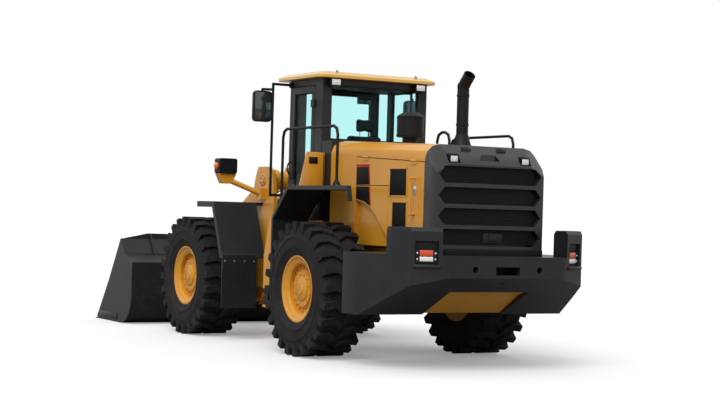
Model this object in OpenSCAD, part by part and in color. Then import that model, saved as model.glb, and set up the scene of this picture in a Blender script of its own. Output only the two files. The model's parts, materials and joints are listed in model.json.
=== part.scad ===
// Articulated wheel loader with a Z-bar bucket linkage, standing straight with its bucket on the ground.
// Every length is measured from the rear axle line: X forward, Y left, Z up from the ground.

/* [Wheels] */
// Distance between the axles
wheelbase = 3300; // [3200:10:3500]
// Distance between the tyre centres of one axle
track = 2190; // [2150:10:2250]
// Outer diameter of a tyre, over its lugs
tyre_d = 1570; // [1540:5:1600]
// Width of a tyre
tyre_w = 590; // [560:5:610]
// Diameter of the rim seat
rim_d = 780; // [700:5:820]
// Height of a tread lug
lug_h = 42; // [30:1:60]
// Lugs on each half of a tyre
lug_count = 24; // [16:1:28]

/* [Bucket] */
// Width of the bucket over its side walls
bucket_w = 2990; // [2800:10:3200]
// Distance of the cutting edge ahead of the front axle
bucket_reach = 3030; // [2950:10:3100]
// Height of the spill edge at the bucket's ends
bucket_h = 1215; // [1150:5:1300]
// Thickness of the bucket's plate
bucket_wall = 30; // [20:1:40]
// Width of the bolt-on cutting edge
edge_l = 330; // [250:5:400]

/* [Rear body] */
// Half width of the hood
hood_half_w = 735; // [700:5:760]
// Height of the hood top at the cab
hood_top_z = 2550; // [2500:10:2600]
// Height of the counterweight's deck
deck_z = 1262; // [1220:2:1300]
// Rear overhang of the counterweight behind the rear axle
tail_x = 2340; // [2250:10:2400]
// Half width of the counterweight
tail_half_w = 1350; // [1300:10:1370]

/* [Cab] */
// Half width of the cab
cab_half_w = 739; // [720:5:750]
// Thickness of the cab's walls and door
cab_wall = 60; // [50:1:70]
// Height of the roof's top
roof_z = 3400; // [3360:5:3450]
// Thickness of the roof
roof_t = 80; // [60:2:100]

/* [Linkage] */
// Radius of the boom's and bucket's pins
pin_r = 45; // [38:1:50]
// Bore of the lift cylinders' barrels, outside
lift_d = 190; // [170:2:200]
// Diameter of the cylinders' rods
rod_d = 95; // [80:1:105]
// Thickness of each boom arm
arm_t = 80; // [60:2:90]

/* [Hidden] */
$fn = 48;
hull_fn = 32;

// Colours
paint = "#e8a516";
dark = "#3a3a3d";
black = "#1c1c1e";
rubber = "#2b2a2c";
steel = "#c9ccd0";
pane = "#a9d5d8";
amber = "#f08a1c";
white = "#f2f2ee";

// Clearances: running fit of a pin, seat of one piece on another, gap at a panel, room between moving pieces,
// overrun of a cut
pin_gap = 0.4;
seat_gap = 0.3;
panel_gap = 8;
move_gap = 12;
over = 5;

// Derived places
axle_z = tyre_d / 2;
front_x = wheelbase;
hinge_x = wheelbase / 2;
tip_x = front_x + bucket_reach;
mid_x = (tip_x - tail_x) / 2;
wheel_y = track / 2;

// Linkage pivots, side view [x, z]. Behind the front axle they keep to the wheelbase: boom, tilt and lift pins.
// Those ahead keep to the reach: bucket pin, bellcrank pin, its low end, link pin, its top end, lift eye.
back_shares = [0.24242, 0.29333, 0.29364];
back_z = [2080, 2007, 1219];
ahead_shares = [0.48185, 0.21716, 0.27195, 0.51221, 0.29241, 0.08977];
ahead_z = [400, 1122, 530, 749, 1636, 1282];
function behind(i) = [front_x - wheelbase * back_shares[i], back_z[i]];
function ahead(i) = [front_x + bucket_reach * ahead_shares[i], ahead_z[i]];
boom_pin = behind(0);
tilt_pin = behind(1);
lift_pin = behind(2);
bucket_pin = ahead(0);
crank_pin = ahead(1);
crank_low = ahead(2);
link_pin = ahead(3);
crank_top = ahead(4);
lift_eye = ahead(5);
arm_y = 470;
eye_w = 100;
eye_r = 95;

module place() { translate([-mid_x, 0, 0]) children(); }
module both_sides() {
  children();
  mirror([0, 1, 0]) children();
}
module block(x0, x1, y0, y1, z0, z1) { translate([x0, y0, z0]) cube([x1 - x0, y1 - y0, z1 - z0]); }
// Extrudes a side view [x, z] from y to y + w
module slab(y, w) { translate([0, y + w, 0]) rotate([90, 0, 0]) linear_extrude(w) children(); }
// Extrudes a rear view [y, z] from x to x + l
module slice(x, l) { translate([x, 0, 0]) rotate([90, 0, 90]) linear_extrude(l) children(); }
// A round bar across the machine at a side-view point
module cross_bar(p, r, y, w) { translate([p[0], y + w, p[1]]) rotate([90, 0, 0]) cylinder(h = w, r = r); }
// A round bar between two points
module bar(p, q, r) {
  d = q - p;
  translate(p) rotate([0, acos(d[2] / norm(d)), atan2(d[1], d[0])]) cylinder(h = norm(d), r = r);
}
bend_share = 1.04;
bend_turn = [37, 23, 0];
// A bent tube through a list of points
module rail(pts, r) {
  for (i = [0 : len(pts) - 2]) bar(pts[i], pts[i + 1], r);
  for (i = [1 : len(pts) - 2]) translate(pts[i]) rotate(bend_turn) sphere(r * bend_share);
}
// The points of a bent tube, each corner eased into a short arc
bend_r = 100;
arc_share = 0.293;
function unit(v) = v / norm(v);
function eased(pts) = concat([pts[0]], [
  for (i = [1 : len(pts) - 2], k = [0 : 2])
    let (a = unit(pts[i - 1] - pts[i]) * bend_r, b = unit(pts[i + 1] - pts[i]) * bend_r)
    pts[i] + (k == 0 ? a : k == 1 ? (a + b) * arc_share : b)
], [pts[len(pts) - 1]]);
// A tapered plate outline between two round ends
module strap(p, q, rp, rq) {
  hull() {
    translate(p) circle(rp, $fn = hull_fn);
    translate(q) circle(rq, $fn = hull_fn);
  }
}
// A rectangle with round corners, centred
module soft_rect(w, h, r) {
  square([w - 2 * r, h], center = true);
  square([w, h - 2 * r], center = true);
  for (x = [-w / 2 + r, w / 2 - r], y = [-h / 2 + r, h / 2 - r]) translate([x, y]) circle(r);
}
// Half of an outline and its mirror image across the machine, as one list of points
function mirrored(half) = concat(half, [for (i = [len(half) - 1 : -1 : 0]) [-half[i][0], half[i][1]]]);
function along(p, q, d) = p + (q - p) * d / norm(q - p);
function between(p, q, s) = p + (q - p) * s;
// Wheels: tyre outline as shares of its radius and width, then the lug's plan
rim_half_w = 255;
rim_open_r = 290;
rim_face_in = 110;
rim_lip = 18;
hub_r = 205;
hub_out = 40;
axle_flange_r = 190;

tyre_fn = 144;
wall_r_shares = [0.6, 0.78];
tyre_w_shares = [0.43, 0.5, 0.46, 0.36];
module tyre(x, side) {
  $fn = tyre_fn;
  r = tyre_d / 2;
  base = r - lug_h;
  w = tyre_w * tyre_w_shares;
  half = [
    [w[0], rim_d / 2], [w[1], r * wall_r_shares[0]], [w[1], r * wall_r_shares[1]],
    [w[2], base - lug_h], [w[3], base]
  ];
  outline = [for (p = mirrored(half)) [p[1], p[0]]];
  translate([x, side * wheel_y, axle_z]) rotate([90, 0, 0]) {
    rotate_extrude() polygon(outline);
    for (i = [0 : lug_count - 1], s = [-1, 1])
      rotate(i * 360 / lug_count + s * 90 / lug_count) tread_lug(s);
  }
}
// A bent bar of the tread on one half of the tyre, up to the groove at the centre line: its places across
// the tyre as shares of the width, its shift round the tyre at each as shares of the pitch, and its thickness
lug_w_shares = [0.02, 0.22, 0.49];
lug_turn_shares = [0.3, -0.08, 0.04];
lug_t_share = 0.42;
module tread_lug(s) {
  r = tyre_d / 2;
  pitch = 2 * PI * r / lug_count;
  half = lug_t_share * pitch / 2;
  mid = [for (k = [0 : 2]) [s * lug_w_shares[k] * tyre_w, lug_turn_shares[k] * pitch]];
  plan = concat([for (k = [0 : 2]) mid[k] + [0, half]], [for (k = [2 : -1 : 0]) mid[k] - [0, half]]);
  intersection() {
    translate([r - 3 * lug_h, 0, 0]) rotate([0, 90, 0]) linear_extrude(3 * lug_h)
      polygon([for (p = plan) [-p[0], p[1]]]);
    translate([0, 0, -tyre_w / 2]) cylinder(h = tyre_w, r = r);
  }
}
module rim(x, side) {
  seat = rim_d / 2 - pin_gap;
  face = rim_half_w - rim_face_in;
  outline = [
    [rim_open_r, -rim_half_w], [seat, -rim_half_w], [seat, rim_half_w], [seat - rim_lip, rim_half_w],
    [seat - 2 * rim_lip, rim_half_w - rim_lip], [rim_open_r + rim_lip, rim_half_w - 2 * rim_lip],
    [rim_open_r, rim_half_w - 3 * rim_lip]
  ];
  translate([x, side * wheel_y, axle_z]) rotate([-90 * side, 0, 0]) color(paint) {
    rotate_extrude() polygon(outline);
    cylinder(h = face, r = rim_open_r + over);
    cylinder(h = face + hub_out, r = hub_r);
    cylinder(h = face + hub_out / 2, r = hub_r + rim_lip);
  }
}
module tyre_front_left() { color(rubber) place() tyre(front_x, 1); }
module tyre_front_right() { color(rubber) place() tyre(front_x, -1); }
module tyre_rear_left() { color(rubber) place() tyre(0, 1); }
module tyre_rear_right() { color(rubber) place() tyre(0, -1); }
module rim_front_left() { place() rim(front_x, 1); }
module rim_front_right() { place() rim(front_x, -1); }
module rim_rear_left() { place() rim(0, 1); }
module rim_rear_right() { place() rim(0, -1); }
// Axles
axle_r = 150;
diff_r = 270;
diff_w = 300;
diff_share = 0.9;
flange_share = 0.9;
seat_half_w = 520;
seat_w = 160;
seat_l = 360;
axle_gap = 0.5;
axle_seat_h = 190;
module axle(x) {
  reach = wheel_y - axle_gap;
  translate([x, 0, axle_z]) {
    rotate([90, 0, 0]) cylinder(h = 2 * reach, r = axle_r, center = true);
    sphere(diff_r);
    rotate([90, 0, 0]) cylinder(h = diff_w, r = diff_r * diff_share, center = true);
    both_sides() translate([0, reach, 0]) rotate([90, 0, 0])
      cylinder(h = rim_half_w * flange_share, r = axle_flange_r);
    both_sides() translate([-seat_l / 2, seat_half_w - seat_w / 2, 0]) cube([seat_l, seat_w, axle_seat_h]);
  }
}
module rear_axle() { color(paint) place() axle(0); }
module front_axle() { color(paint) place() axle(front_x); }

// Rear chassis: two side beams, cross plates, the fork plates of the steering joint and the belly box.
// The shares of the wheelbase place the steering pins behind and ahead of the joint, and the front cross plate.
hinge_shares = [0.18485, 0.0697, 0.22727];
beam_t = 40;
beam_y = 480;
beam_top = 1290;
beam_low = axle_z + axle_seat_h;
fork_t = 60;
fork_r = 190;
fork_low = 560;
fork_high = 1180;
joint_pin_r = 60;
nose_back = hinge_x - wheelbase * hinge_shares[2];
rear_end = 2000;
cross_t = 40;
belly_x = [1440, 1790];
belly_z = [602, 815];
module rear_chassis() {
  color(paint) place() difference() {
    union() {
      both_sides() slab(beam_y, beam_t) polygon([
        [-rear_end, beam_top], [nose_back, beam_top], [hinge_x - 2 * fork_r, fork_high + fork_t],
        [hinge_x - 2 * fork_r, fork_low], [nose_back, fork_low], [seat_l, beam_low], [-rear_end, beam_low]
      ]);
      for (z = [fork_low, fork_high]) translate([0, 0, z]) linear_extrude(fork_t) {
        translate([hinge_x, 0]) circle(fork_r);
        polygon([
          [hinge_x, fork_r], [hinge_x, -fork_r], [hinge_x - 2 * fork_r, -beam_y - beam_t],
          [nose_back, -beam_y - beam_t], [nose_back, beam_y + beam_t], [hinge_x - 2 * fork_r, beam_y + beam_t]
        ]);
      }
      translate([hinge_x, 0, fork_low]) cylinder(h = fork_high - fork_low + fork_t, r = joint_pin_r);
      block(nose_back, nose_back + cross_t, -beam_y - over, beam_y + over, fork_low, beam_top);
      block(-rear_end, -rear_end + cross_t, -beam_y - over, beam_y + over, beam_low, beam_top);
      slab(-beam_y - beam_t, 2 * (beam_y + beam_t)) polygon([
        [-belly_x[0], belly_z[0]], [-belly_x[0], beam_low + over], [-rear_end, beam_low + over],
        [-rear_end, (belly_z[1] + beam_low) / 2], [-belly_x[1], belly_z[1]]
      ]);
      both_sides() steer_lug();
    }
    both_sides() translate([steer_back[0], steer_back[1], fork_low - over])
      cylinder(h = fork_high, r = steer_pin_r + pin_gap);
  }
}
// Steering cylinders, plan view [x, y]
steer_y = 300;
steer_back = [hinge_x - wheelbase * hinge_shares[0], steer_y];
steer_front = [hinge_x + wheelbase * hinge_shares[1], steer_y];
steer_z = 860;
steer_pin_r = 30;
steer_d = 110;
steer_rod_d = 55;
steer_lug_t = 30;
steer_lug_r = 65;
steer_eye_h = 70;
module steer_lug() {
  p = steer_back;
  for (z = [steer_z - steer_eye_h / 2 - steer_lug_t - pin_gap, steer_z + steer_eye_h / 2 + pin_gap])
    translate([0, 0, z]) linear_extrude(steer_lug_t) {
      translate(p) circle(steer_lug_r);
      translate([p[0] - steer_lug_r, p[1]]) square([2 * steer_lug_r, beam_y + over - p[1]]);
    }
}
// Places of the rod's tail and of the barrel's mouth along the cylinder
steer_shares = [0.36, 0.6];
function steer_pin(p) = [p[0], p[1], steer_z];
module steer_barrel() {
  p = steer_pin(steer_back);
  q = steer_pin(steer_front);
  tip = between(p, q, steer_shares[1]);
  butt = along(p, q, steer_lug_r + move_gap);
  difference() {
    union() {
      bar(butt, tip, steer_d / 2);
      bar(p, along(p, q, steer_lug_r + move_gap + over), steer_eye_h / 2);
      translate(p - [0, 0, steer_eye_h / 2]) cylinder(h = steer_eye_h, r = steer_lug_r);
    }
    bar(along(p, q, steer_lug_r + 3 * move_gap), q, steer_rod_d / 2 + pin_gap);
  }
  translate(p - [0, 0, steer_eye_h / 2 + steer_lug_t])
    cylinder(h = steer_eye_h + 2 * steer_lug_t, r = steer_pin_r);
}
module steer_rod() {
  p = steer_pin(steer_back);
  q = steer_pin(steer_front);
  bar(between(p, q, steer_shares[0]), q, steer_rod_d / 2);
  translate(q - [0, 0, steer_eye_h / 2]) cylinder(h = steer_eye_h, r = steer_lug_r);
}
module steer_barrel_left() { color(black) place() steer_barrel(); }
module steer_barrel_right() { color(black) place() mirror([0, 1, 0]) steer_barrel(); }
module steer_rod_left() { color(steel) place() steer_rod(); }
module steer_rod_right() { color(steel) place() mirror([0, 1, 0]) steer_rod(); }
// Counterweight, plan view [back, out] of its corner, lamp end and wing
tail_rear_half = 700;
tail_corner = [2298, 809];
tail_lamp_end = [2156, 1113];
tail_wing = [1900, 1205];
tail_side_x = [1447, 1105];
tail_low = 585;
tail_face_low = 1030;
tower_z = 1556;
tower_t = 260;
tower_step_share = 0.86;
tower_low_shares = [0, 0, 0, 0.4, 1, 1];
tower_top_shares = [0.16, 0.1, 0.08, 0.32, 0.86, 0.86];
tow_slot = [310, 90];
tow_z = 1107;
tow_depth = 252;
tow_pin_r = 30;
hole_r = 35;
hole_y = 415;
hole_z = 1120;
hole_depth = 150;
hollow_h = 240;
hollow_z = 1292;
lip = [36, 290, 22];
lip_z = 1148;
lamp_w = 250;
lamp_h = 150;
lamp_r = 25;
lamp_z = 1250;
lamp_depth = 45;
lamp_t_share = 0.7;
function back(p) = [-p[0], p[1]];
module tail_plan() {
  half = [
    [-tail_side_x[1], tail_half_w], [-tail_side_x[0], tail_half_w], back(tail_wing), back(tail_lamp_end),
    back(tail_corner), [-tail_x, tail_rear_half]
  ];
  polygon(concat(half, [for (i = [len(half) - 1 : -1 : 0]) [half[i][0], -half[i][1]]]));
}
module tower_plan(shares) {
  edge = [back(tail_corner), back(tail_lamp_end), back(tail_wing)];
  order = [0, 1, 2, 2, 1, 0];
  polygon([for (i = [0 : len(order) - 1]) edge[order[i]] + [tower_t * shares[i], 0]]);
}
// Lamp tower at a rear corner, over the deck, drawn in towards its top
module lamp_tower() {
  top = tower_z - deck_z;
  shoulder = deck_z + top * tower_step_share;
  translate([0, 0, deck_z - over]) linear_extrude(shoulder - deck_z + over) tower_plan(tower_low_shares);
  hull() {
    translate([0, 0, shoulder - over]) linear_extrude(over) tower_plan(tower_low_shares);
    translate([0, 0, tower_z - over]) linear_extrude(over) tower_plan(tower_top_shares);
  }
}
lamp_dir = atan2(tail_lamp_end[1] - tail_corner[1], tail_corner[0] - tail_lamp_end[0]);
// Puts a lamp form on the swept face of the left lamp tower: its X is up, its Z looks out of the face
module on_lamp_face(z) {
  mid = between(back(tail_corner), back(tail_lamp_end), 1 / 2);
  translate([mid[0], mid[1], z]) rotate([0, 0, 90 - lamp_dir]) rotate([0, -90, 0]) children();
}
module counterweight() {
  slope_h = tail_face_low - tail_low;
  bay = beam_y + beam_t + seat_gap;
  color(dark) place() difference() {
    union() {
      translate([0, 0, tail_low]) linear_extrude(deck_z - tail_low) tail_plan();
      both_sides() lamp_tower();
      both_sides() on_lamp_face(lip_z) translate([0, 0, -over]) linear_extrude(lip[2] + over)
        soft_rect(lip[0], lip[1], lip[2] / 2);
    }
    slab(-2 * tail_half_w, 4 * tail_half_w) polygon([
      [-tail_side_x[0], tail_low - over], [-tail_side_x[0], tail_low], [-tail_x, tail_face_low],
      [-tail_x - slope_h, tail_face_low + slope_h / 2], [-tail_x - slope_h, tail_low - over]
    ]);
    block(-rear_end - panel_gap, 0, -bay, bay, 0, deck_z + over);
    block(-tail_x - over, -tail_x + tow_depth, -tow_slot[0] / 2, tow_slot[0] / 2,
      tow_z - tow_slot[1] / 2, tow_z + tow_slot[1] / 2);
    translate([-tail_x + tow_depth / 2, 0, 0]) cylinder(h = deck_z + over, r = tow_pin_r);
    for (y = [-hole_y, hole_y]) translate([-tail_x - over, y, hole_z]) rotate([0, 90, 0])
      cylinder(h = hole_depth + over, r = hole_r);
    both_sides() on_lamp_face(hollow_z) translate([0, 0, -lamp_depth]) linear_extrude(2 * lamp_depth)
      soft_rect(hollow_h, lamp_w, lamp_r);
  }
}
module tail_lamps() {
  size = [lamp_h / 2 - panel_gap * 2, lamp_w - 4 * panel_gap, lamp_depth * lamp_t_share];
  place() both_sides() on_lamp_face(lamp_z) {
    color(amber) translate([panel_gap / 2, -size[1] / 2, -lamp_depth]) cube(size);
    color(white) translate([-panel_gap / 2 - size[0], -size[1] / 2, -lamp_depth]) cube(size);
  }
}
// Engine and hood: a shell with round shoulders, a door on each side and a liner behind the wheel arch
engine = [1500, 800, 900];
hood_front = 390;
hood_rear = 1765;
hood_seam = 230;
crease_front = 2403;
crease_rear = 2293;
hood_top_rear = 2465;
hood_low = 1320;
hood_t = 40;
hood_top_half = 550;
shoulder_step = 30;
crease_share = 0.4;
module engine_block() {
  color(black) place() translate([-engine[0] - hood_seam, -beam_y, beam_low + over * 2]) {
    translate([0, (beam_y * 2 - engine[1]) / 2, 0]) cube(engine);
    cube([engine[0] / 5, 2 * beam_y, engine[2] / 5]);
  }
}
function hood_line(front, rear, x) = front + (rear - front) * (hood_front - x) / (hood_front + hood_rear);
function crease(x) = hood_line(crease_front, crease_rear, x);
function ridge(x) = hood_line(hood_top_z, hood_top_rear, x);
module hood_section(x, inset) {
  y = hood_half_w - inset;
  z = crease(x) - inset * crease_share;
  rise = ridge(x) - inset - z;
  shoulder = [
    for (a = [0 : shoulder_step : 90]) [hood_top_half + (y - hood_top_half) * cos(a), z + rise * sin(a)]
  ];
  polygon(mirrored(concat([[y, hood_low]], shoulder)));
}
module hood_solid(inset, front, rear) {
  hull() {
    slice(front, over) hood_section(front, inset);
    slice(rear, over) hood_section(rear, inset);
  }
}
// The wheel arch's edge, [back, up], from the seam to the door's foot
arch = [[230, 1840], [430, 1815], [584, 1757], [720, 1660], [856, 1533], [1063, 1370], [1100, 1320]];
fender_line = 2002;
skirt_x = 1000;
skirt_z = 1420;
liner_in = 90;
liner_t = 40;
liner_back = 1300;
module hood_shell() {
  foot = hood_low - over;
  top = [for (x = [hood_seam, hood_rear + 2 * over]) [-x, crease(-x) - door_top_drop]];
  color(paint) place() {
    difference() {
      hood_solid(0, hood_front, -hood_rear);
      hood_solid(hood_t, hood_front - hood_t, -hood_rear - hood_t);
      both_sides() slab(hood_half_w - hood_t - over, hood_t * 3) polygon(concat(top, [
        [-hood_rear - 2 * over, foot], [-hood_seam, foot]
      ]));
    }
    both_sides() {
      slab(hood_half_w - liner_in, liner_t) polygon([
        [-hood_seam + liner_t, hood_low], [-hood_seam + liner_t, arch[0][1] + liner_in],
        [-arch[2][0], arch[1][1] + liner_in], [-liner_back, arch[5][1]], [-liner_back, hood_low]
      ]);
      block(-hood_seam, -hood_seam + liner_t, hood_half_w - liner_in, hood_half_w - hood_t + over,
        hood_low, arch[0][1] + liner_in);
      slab(hood_half_w - hood_t, hood_t) arch_panel();
    }
  }
}
// The wheel arch is split where the platform ends: its front stays with the hood, its foot opens with the door
module arch_panel() {
  edge = [for (i = [0 : 4]) back(arch[i])];
  polygon(concat([[-hood_seam + over, fender_line], [-hood_seam + over, arch[0][1]]], edge, [
    [-skirt_x + panel_gap, skirt_z], [-skirt_x + panel_gap, fender_line]
  ]));
}
module hood_door_shape() {
  g = panel_gap;
  top = [for (x = [hood_seam + g, hood_rear - g]) [-x, crease(-x) - door_top_drop - g]];
  polygon(concat(top, [[-hood_rear + g, hood_low], back(arch[6]), back(arch[5]), [-skirt_x, skirt_z],
    [-skirt_x, fender_line + g], [-hood_seam - g, fender_line + g]]));
}
// Louvre openings, [back] and [up], and the slanted cut at the lower one's front
louvre_x = [[1030, 1390], [1100, 1400]];
louvre_z = [[1895, 2190], [1530, 1815]];
louvre_n = 7;
louvre_shares = [0.7, 0.2];
hood_hinge_r = 10;
hood_hinge_l = 120;
hood_hinge_shares = [0.15, 0.85];
door_top_drop = 25;
grip_x = 1575;
grip_z = [1690, 2085];
grip_out = 60;
grip_r = 11;
// A knuckle of the hood door's hinge, on the line along the crease
module hood_hinge(x) {
  z = crease(x) - door_top_drop;
  half = hood_hinge_l / 2;
  y = hood_half_w + hood_hinge_r;
  bar([x - half, y, crease(x - half) - door_top_drop], [x + half, y, crease(x + half) - door_top_drop],
    hood_hinge_r - pin_gap);
  block(x - half, x + half, hood_half_w - over, y, z - 4 * hood_hinge_r, z - hood_hinge_r / 2);
}
module hood_door() {
  y = hood_half_w + grip_out;
  for (v = hood_hinge_shares) hood_hinge(-hood_seam - (hood_rear - hood_seam) * v);
  bar([-grip_x, y, grip_z[0]], [-grip_x, y, grip_z[1]], grip_r);
  for (z = grip_z) bar([-grip_x, hood_half_w - over, z], [-grip_x, y + 2 * grip_r, z], grip_r * post_share);
  difference() {
    slab(hood_half_w - hood_t, hood_t) hood_door_shape();
    for (i = [0, 1]) block(-louvre_x[i][1], -louvre_x[i][0], hood_half_w - hood_t - over, hood_half_w + over,
      louvre_z[i][0], louvre_z[i][1]);
  }
}
module louvres() {
  y = [for (s = louvre_shares) hood_half_w - hood_t * s];
  for (i = [0, 1]) {
    z = louvre_z[i];
    step = (z[1] - z[0]) / louvre_n;
    block(-louvre_x[i][1], -louvre_x[i][0], hood_half_w - hood_t, y[0], z[0], z[1]);
    for (k = [0 : louvre_n - 1]) translate([0, 0, z[0] + k * step + step / 4])
      block(-louvre_x[i][1], -louvre_x[i][0], y[0], y[1], 0, step / 2);
  }
}
module hood_door_left() { color(paint) place() hood_door(); }
module hood_door_right() { color(paint) place() mirror([0, 1, 0]) hood_door(); }
module louvres_left() { color(black) place() louvres(); }
module louvres_right() { color(black) place() mirror([0, 1, 0]) louvres(); }
// Rear grille housing: hood section, a fuller middle and a narrower rear face, [back, half width, shoulder, top]
grille_rear = 1966;
grille_mid = [1885, 735, 2235, 2362];
grille_face = [1966, 702, 2150, 2250];
grille_top_half = 520;
slot_n = 4;
slot_half_w = 595;
slot_cut = 75;
slot_low = 1340;
bar_h = 44;
housing_t = 60;
grille_lamp_y = 468;
grille_lamp_z = [2262, 2368];
grille_lamp_w = 150;
grille_lamp_x = 1880;
camera_pod = [90, 130, 2296, 2376];
module grille_slice(v) {
  slice(-v[0], over) polygon(mirrored([
    [v[1], hood_low], [v[1], v[2]], [grille_top_half, v[3]]
  ]));
}
module grille_housing() {
  pitch = (grille_face[3] - slot_low) / slot_n;
  color(dark) place() difference() {
    hull() {
      slice(-hood_rear - over, over) hood_section(-hood_rear, 0);
      grille_slice(grille_mid);
      grille_slice(grille_face);
    }
    block(-grille_rear + housing_t, -hood_rear + over, -hood_half_w + housing_t, hood_half_w - housing_t,
      hood_low + housing_t, grille_face[3] - over);
    for (i = [0 : slot_n - 1]) slice(-grille_rear - over, housing_t * 2) translate([0, slot_low + i * pitch])
      polygon([
        [-slot_half_w - slot_cut, pitch / 2], [-slot_half_w, bar_h / 2], [slot_half_w, bar_h / 2],
        [slot_half_w + slot_cut, pitch / 2], [slot_half_w, pitch - bar_h / 2], [-slot_half_w, pitch - bar_h / 2]
      ]);
    both_sides() block(-grille_rear - over, -grille_lamp_x, grille_lamp_y - grille_lamp_w / 2,
      grille_lamp_y + grille_lamp_w / 2, grille_lamp_z[0], grille_lamp_z[1]);
    slice(-grille_rear - over, grille_rear - grille_lamp_x + over) polygon([
      [-camera_pod[1], camera_pod[2]], [camera_pod[1], camera_pod[2]], [camera_pod[0], camera_pod[3]],
      [-camera_pod[0], camera_pod[3]]
    ]);
  }
}
mesh_t = 12;
module grille_mesh() {
  color(black) place() block(-grille_rear + housing_t, -grille_rear + housing_t + mesh_t,
    -hood_half_w + housing_t, hood_half_w - housing_t, hood_low + housing_t, grille_face[3] - over);
}

// Hood fittings
stack_at = [-800, -350];
stack_r = 70;
stack_z = 3200;
stack_lip = 130;
stack_foot_share = 1.6;
can_at = [-270, 40];
can_r = 160;
can_z = [2600, 2850];
neck_r = 90;
wall_share = 0.1;
module exhaust_stack() {
  foot = stack_r * stack_foot_share;
  p = [stack_at[0], stack_at[1], ridge(stack_at[0] + foot) + seat_gap];
  q = [stack_at[0], stack_at[1], stack_z];
  tip = q + [-stack_lip, 0, stack_lip];
  color(black) place() difference() {
    union() {
      bar(p, q, stack_r);
      translate(q) sphere(stack_r * bend_share);
      bar(q, tip, stack_r);
      translate(p) cylinder(h = stack_lip, r1 = foot, r2 = stack_r * bend_share);
    }
    bar(q + (tip - q) / 2, tip + (tip - q), stack_r * (1 - wall_share));
  }
}
module precleaner() {
  base = ridge(can_at[0] + neck_r) + seat_gap;
  color(black) place() translate([can_at[0], can_at[1], base]) {
    cylinder(h = can_z[0] - base + over, r = neck_r);
    translate([0, 0, can_z[0] - base]) cylinder(h = can_z[1] - can_z[0], r = can_r);
    translate([0, 0, can_z[1] - base]) cylinder(h = neck_r / 2, r1 = can_r, r2 = neck_r);
  }
}
rail_r = 17;
hood_rail_x = [-15, -290];
hood_rail_y = -500;
hood_rail_z = 2690;
post_share = 1.2;
module hood_rail() {
  y = hood_rail_y;
  foot = [for (x = hood_rail_x) [x, y, ridge(x + rail_r) + seat_gap]];
  top = [for (x = hood_rail_x) [x, y, hood_rail_z]];
  color(black) place() rail(eased([foot[0], top[0], top[1], foot[1]]), rail_r);
}

// Cab
cab_rear = 656;
cab_post = 1530;
cab_nose_l = 120;
cab_nose = cab_post + cab_nose_l;
cab_nose_half = 560;
cab_low = 1580;
sill = 1900;
head = 3240;
post = 90;
door_inset = [194, 40];
cab_door_x = [cab_rear + door_inset[0], cab_post - door_inset[1]];
door_low = 1700;
rear_window_low = 2575;
rear_post = 120;
pane_share = 0.3;
pane_in_share = 0.35;
corner_share = 0.6;
cab_mount_shares = [0.9, 1.1];
module cab_plan(inset) {
  w = cab_half_w - inset;
  polygon([
    [cab_rear + inset, -w], [cab_post, -w], [cab_nose - inset, -cab_nose_half + inset / 2],
    [cab_nose - inset, cab_nose_half - inset / 2], [cab_post, w], [cab_rear + inset, w]
  ]);
}
module cab_shell() {
  color(dark) place() {
    difference() {
      translate([0, 0, cab_low]) linear_extrude(roof_z - roof_t - cab_low) cab_plan(0);
      translate([0, 0, cab_low + cab_wall]) linear_extrude(roof_z - roof_t - cab_low) cab_plan(cab_wall);
      cab_openings(0);
      block(cab_door_x[0], cab_door_x[1], cab_half_w - cab_wall - over, cab_half_w + over, door_low, head);
    }
    block(hood_front + panel_gap, cab_rear + over, -hood_half_w, hood_half_w, deck_top + seat_gap, hood_top_z);
    block(nose_back * cab_mount_shares[0], nose_back * cab_mount_shares[1], -beam_y - beam_t, beam_y + beam_t,
      beam_top, cab_low + over);
  }
}
// Window openings of the cab, drawn in by a gap for the panes that fill them
module cab_openings(g) {
  depth = g > 0 ? cab_wall * pane_share : cab_wall + 2 * over;
  off = g > 0 ? cab_wall * pane_in_share : -over;
  block(cab_rear + off, cab_rear + off + depth, -cab_half_w + rear_post + g, cab_half_w - rear_post - g,
    rear_window_low + g, head - g);
  block(cab_nose - off - depth, cab_nose - off, -cab_nose_half + post + g, cab_nose_half - post - g,
    sill + g, head - g);
  block(cab_rear + 2 * post + g, cab_post - post - g, -cab_half_w + off, -cab_half_w + off + depth,
    sill + 2 * post + g, head - g);
  both_sides() corner_opening(g, off, depth);
}
// The slanted pane between the windscreen and the side
module corner_opening(g, off, depth) {
  d = [cab_nose - cab_post, cab_nose_half - cab_half_w];
  edge = post * corner_share + g;
  translate([cab_post, cab_half_w, 0]) rotate(atan2(d[1], d[0]))
    block(edge, norm(d) - edge, -off - depth, -off, sill + g, head - g);
}
module cab_glass() { color(pane, 0.4) place() cab_openings(pin_gap); }
roof_over = [96, 100];
roof_x = [cab_rear - roof_over[0], cab_nose + roof_over[1]];
roof_half_w = 839;
roof_r = 90;
module roof_plan(inset) {
  translate([(roof_x[0] + roof_x[1]) / 2, 0])
    soft_rect(roof_x[1] - roof_x[0] - 2 * inset, 2 * roof_half_w - 2 * inset, roof_r, $fn = hull_fn);
}
module cab_roof() {
  color(paint) place() hull() {
    translate([0, 0, roof_z - roof_t]) linear_extrude(roof_t / 2) roof_plan(0);
    translate([0, 0, roof_z - over]) linear_extrude(over) roof_plan(roof_t);
  }
}
hinge_r = 16;
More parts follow.
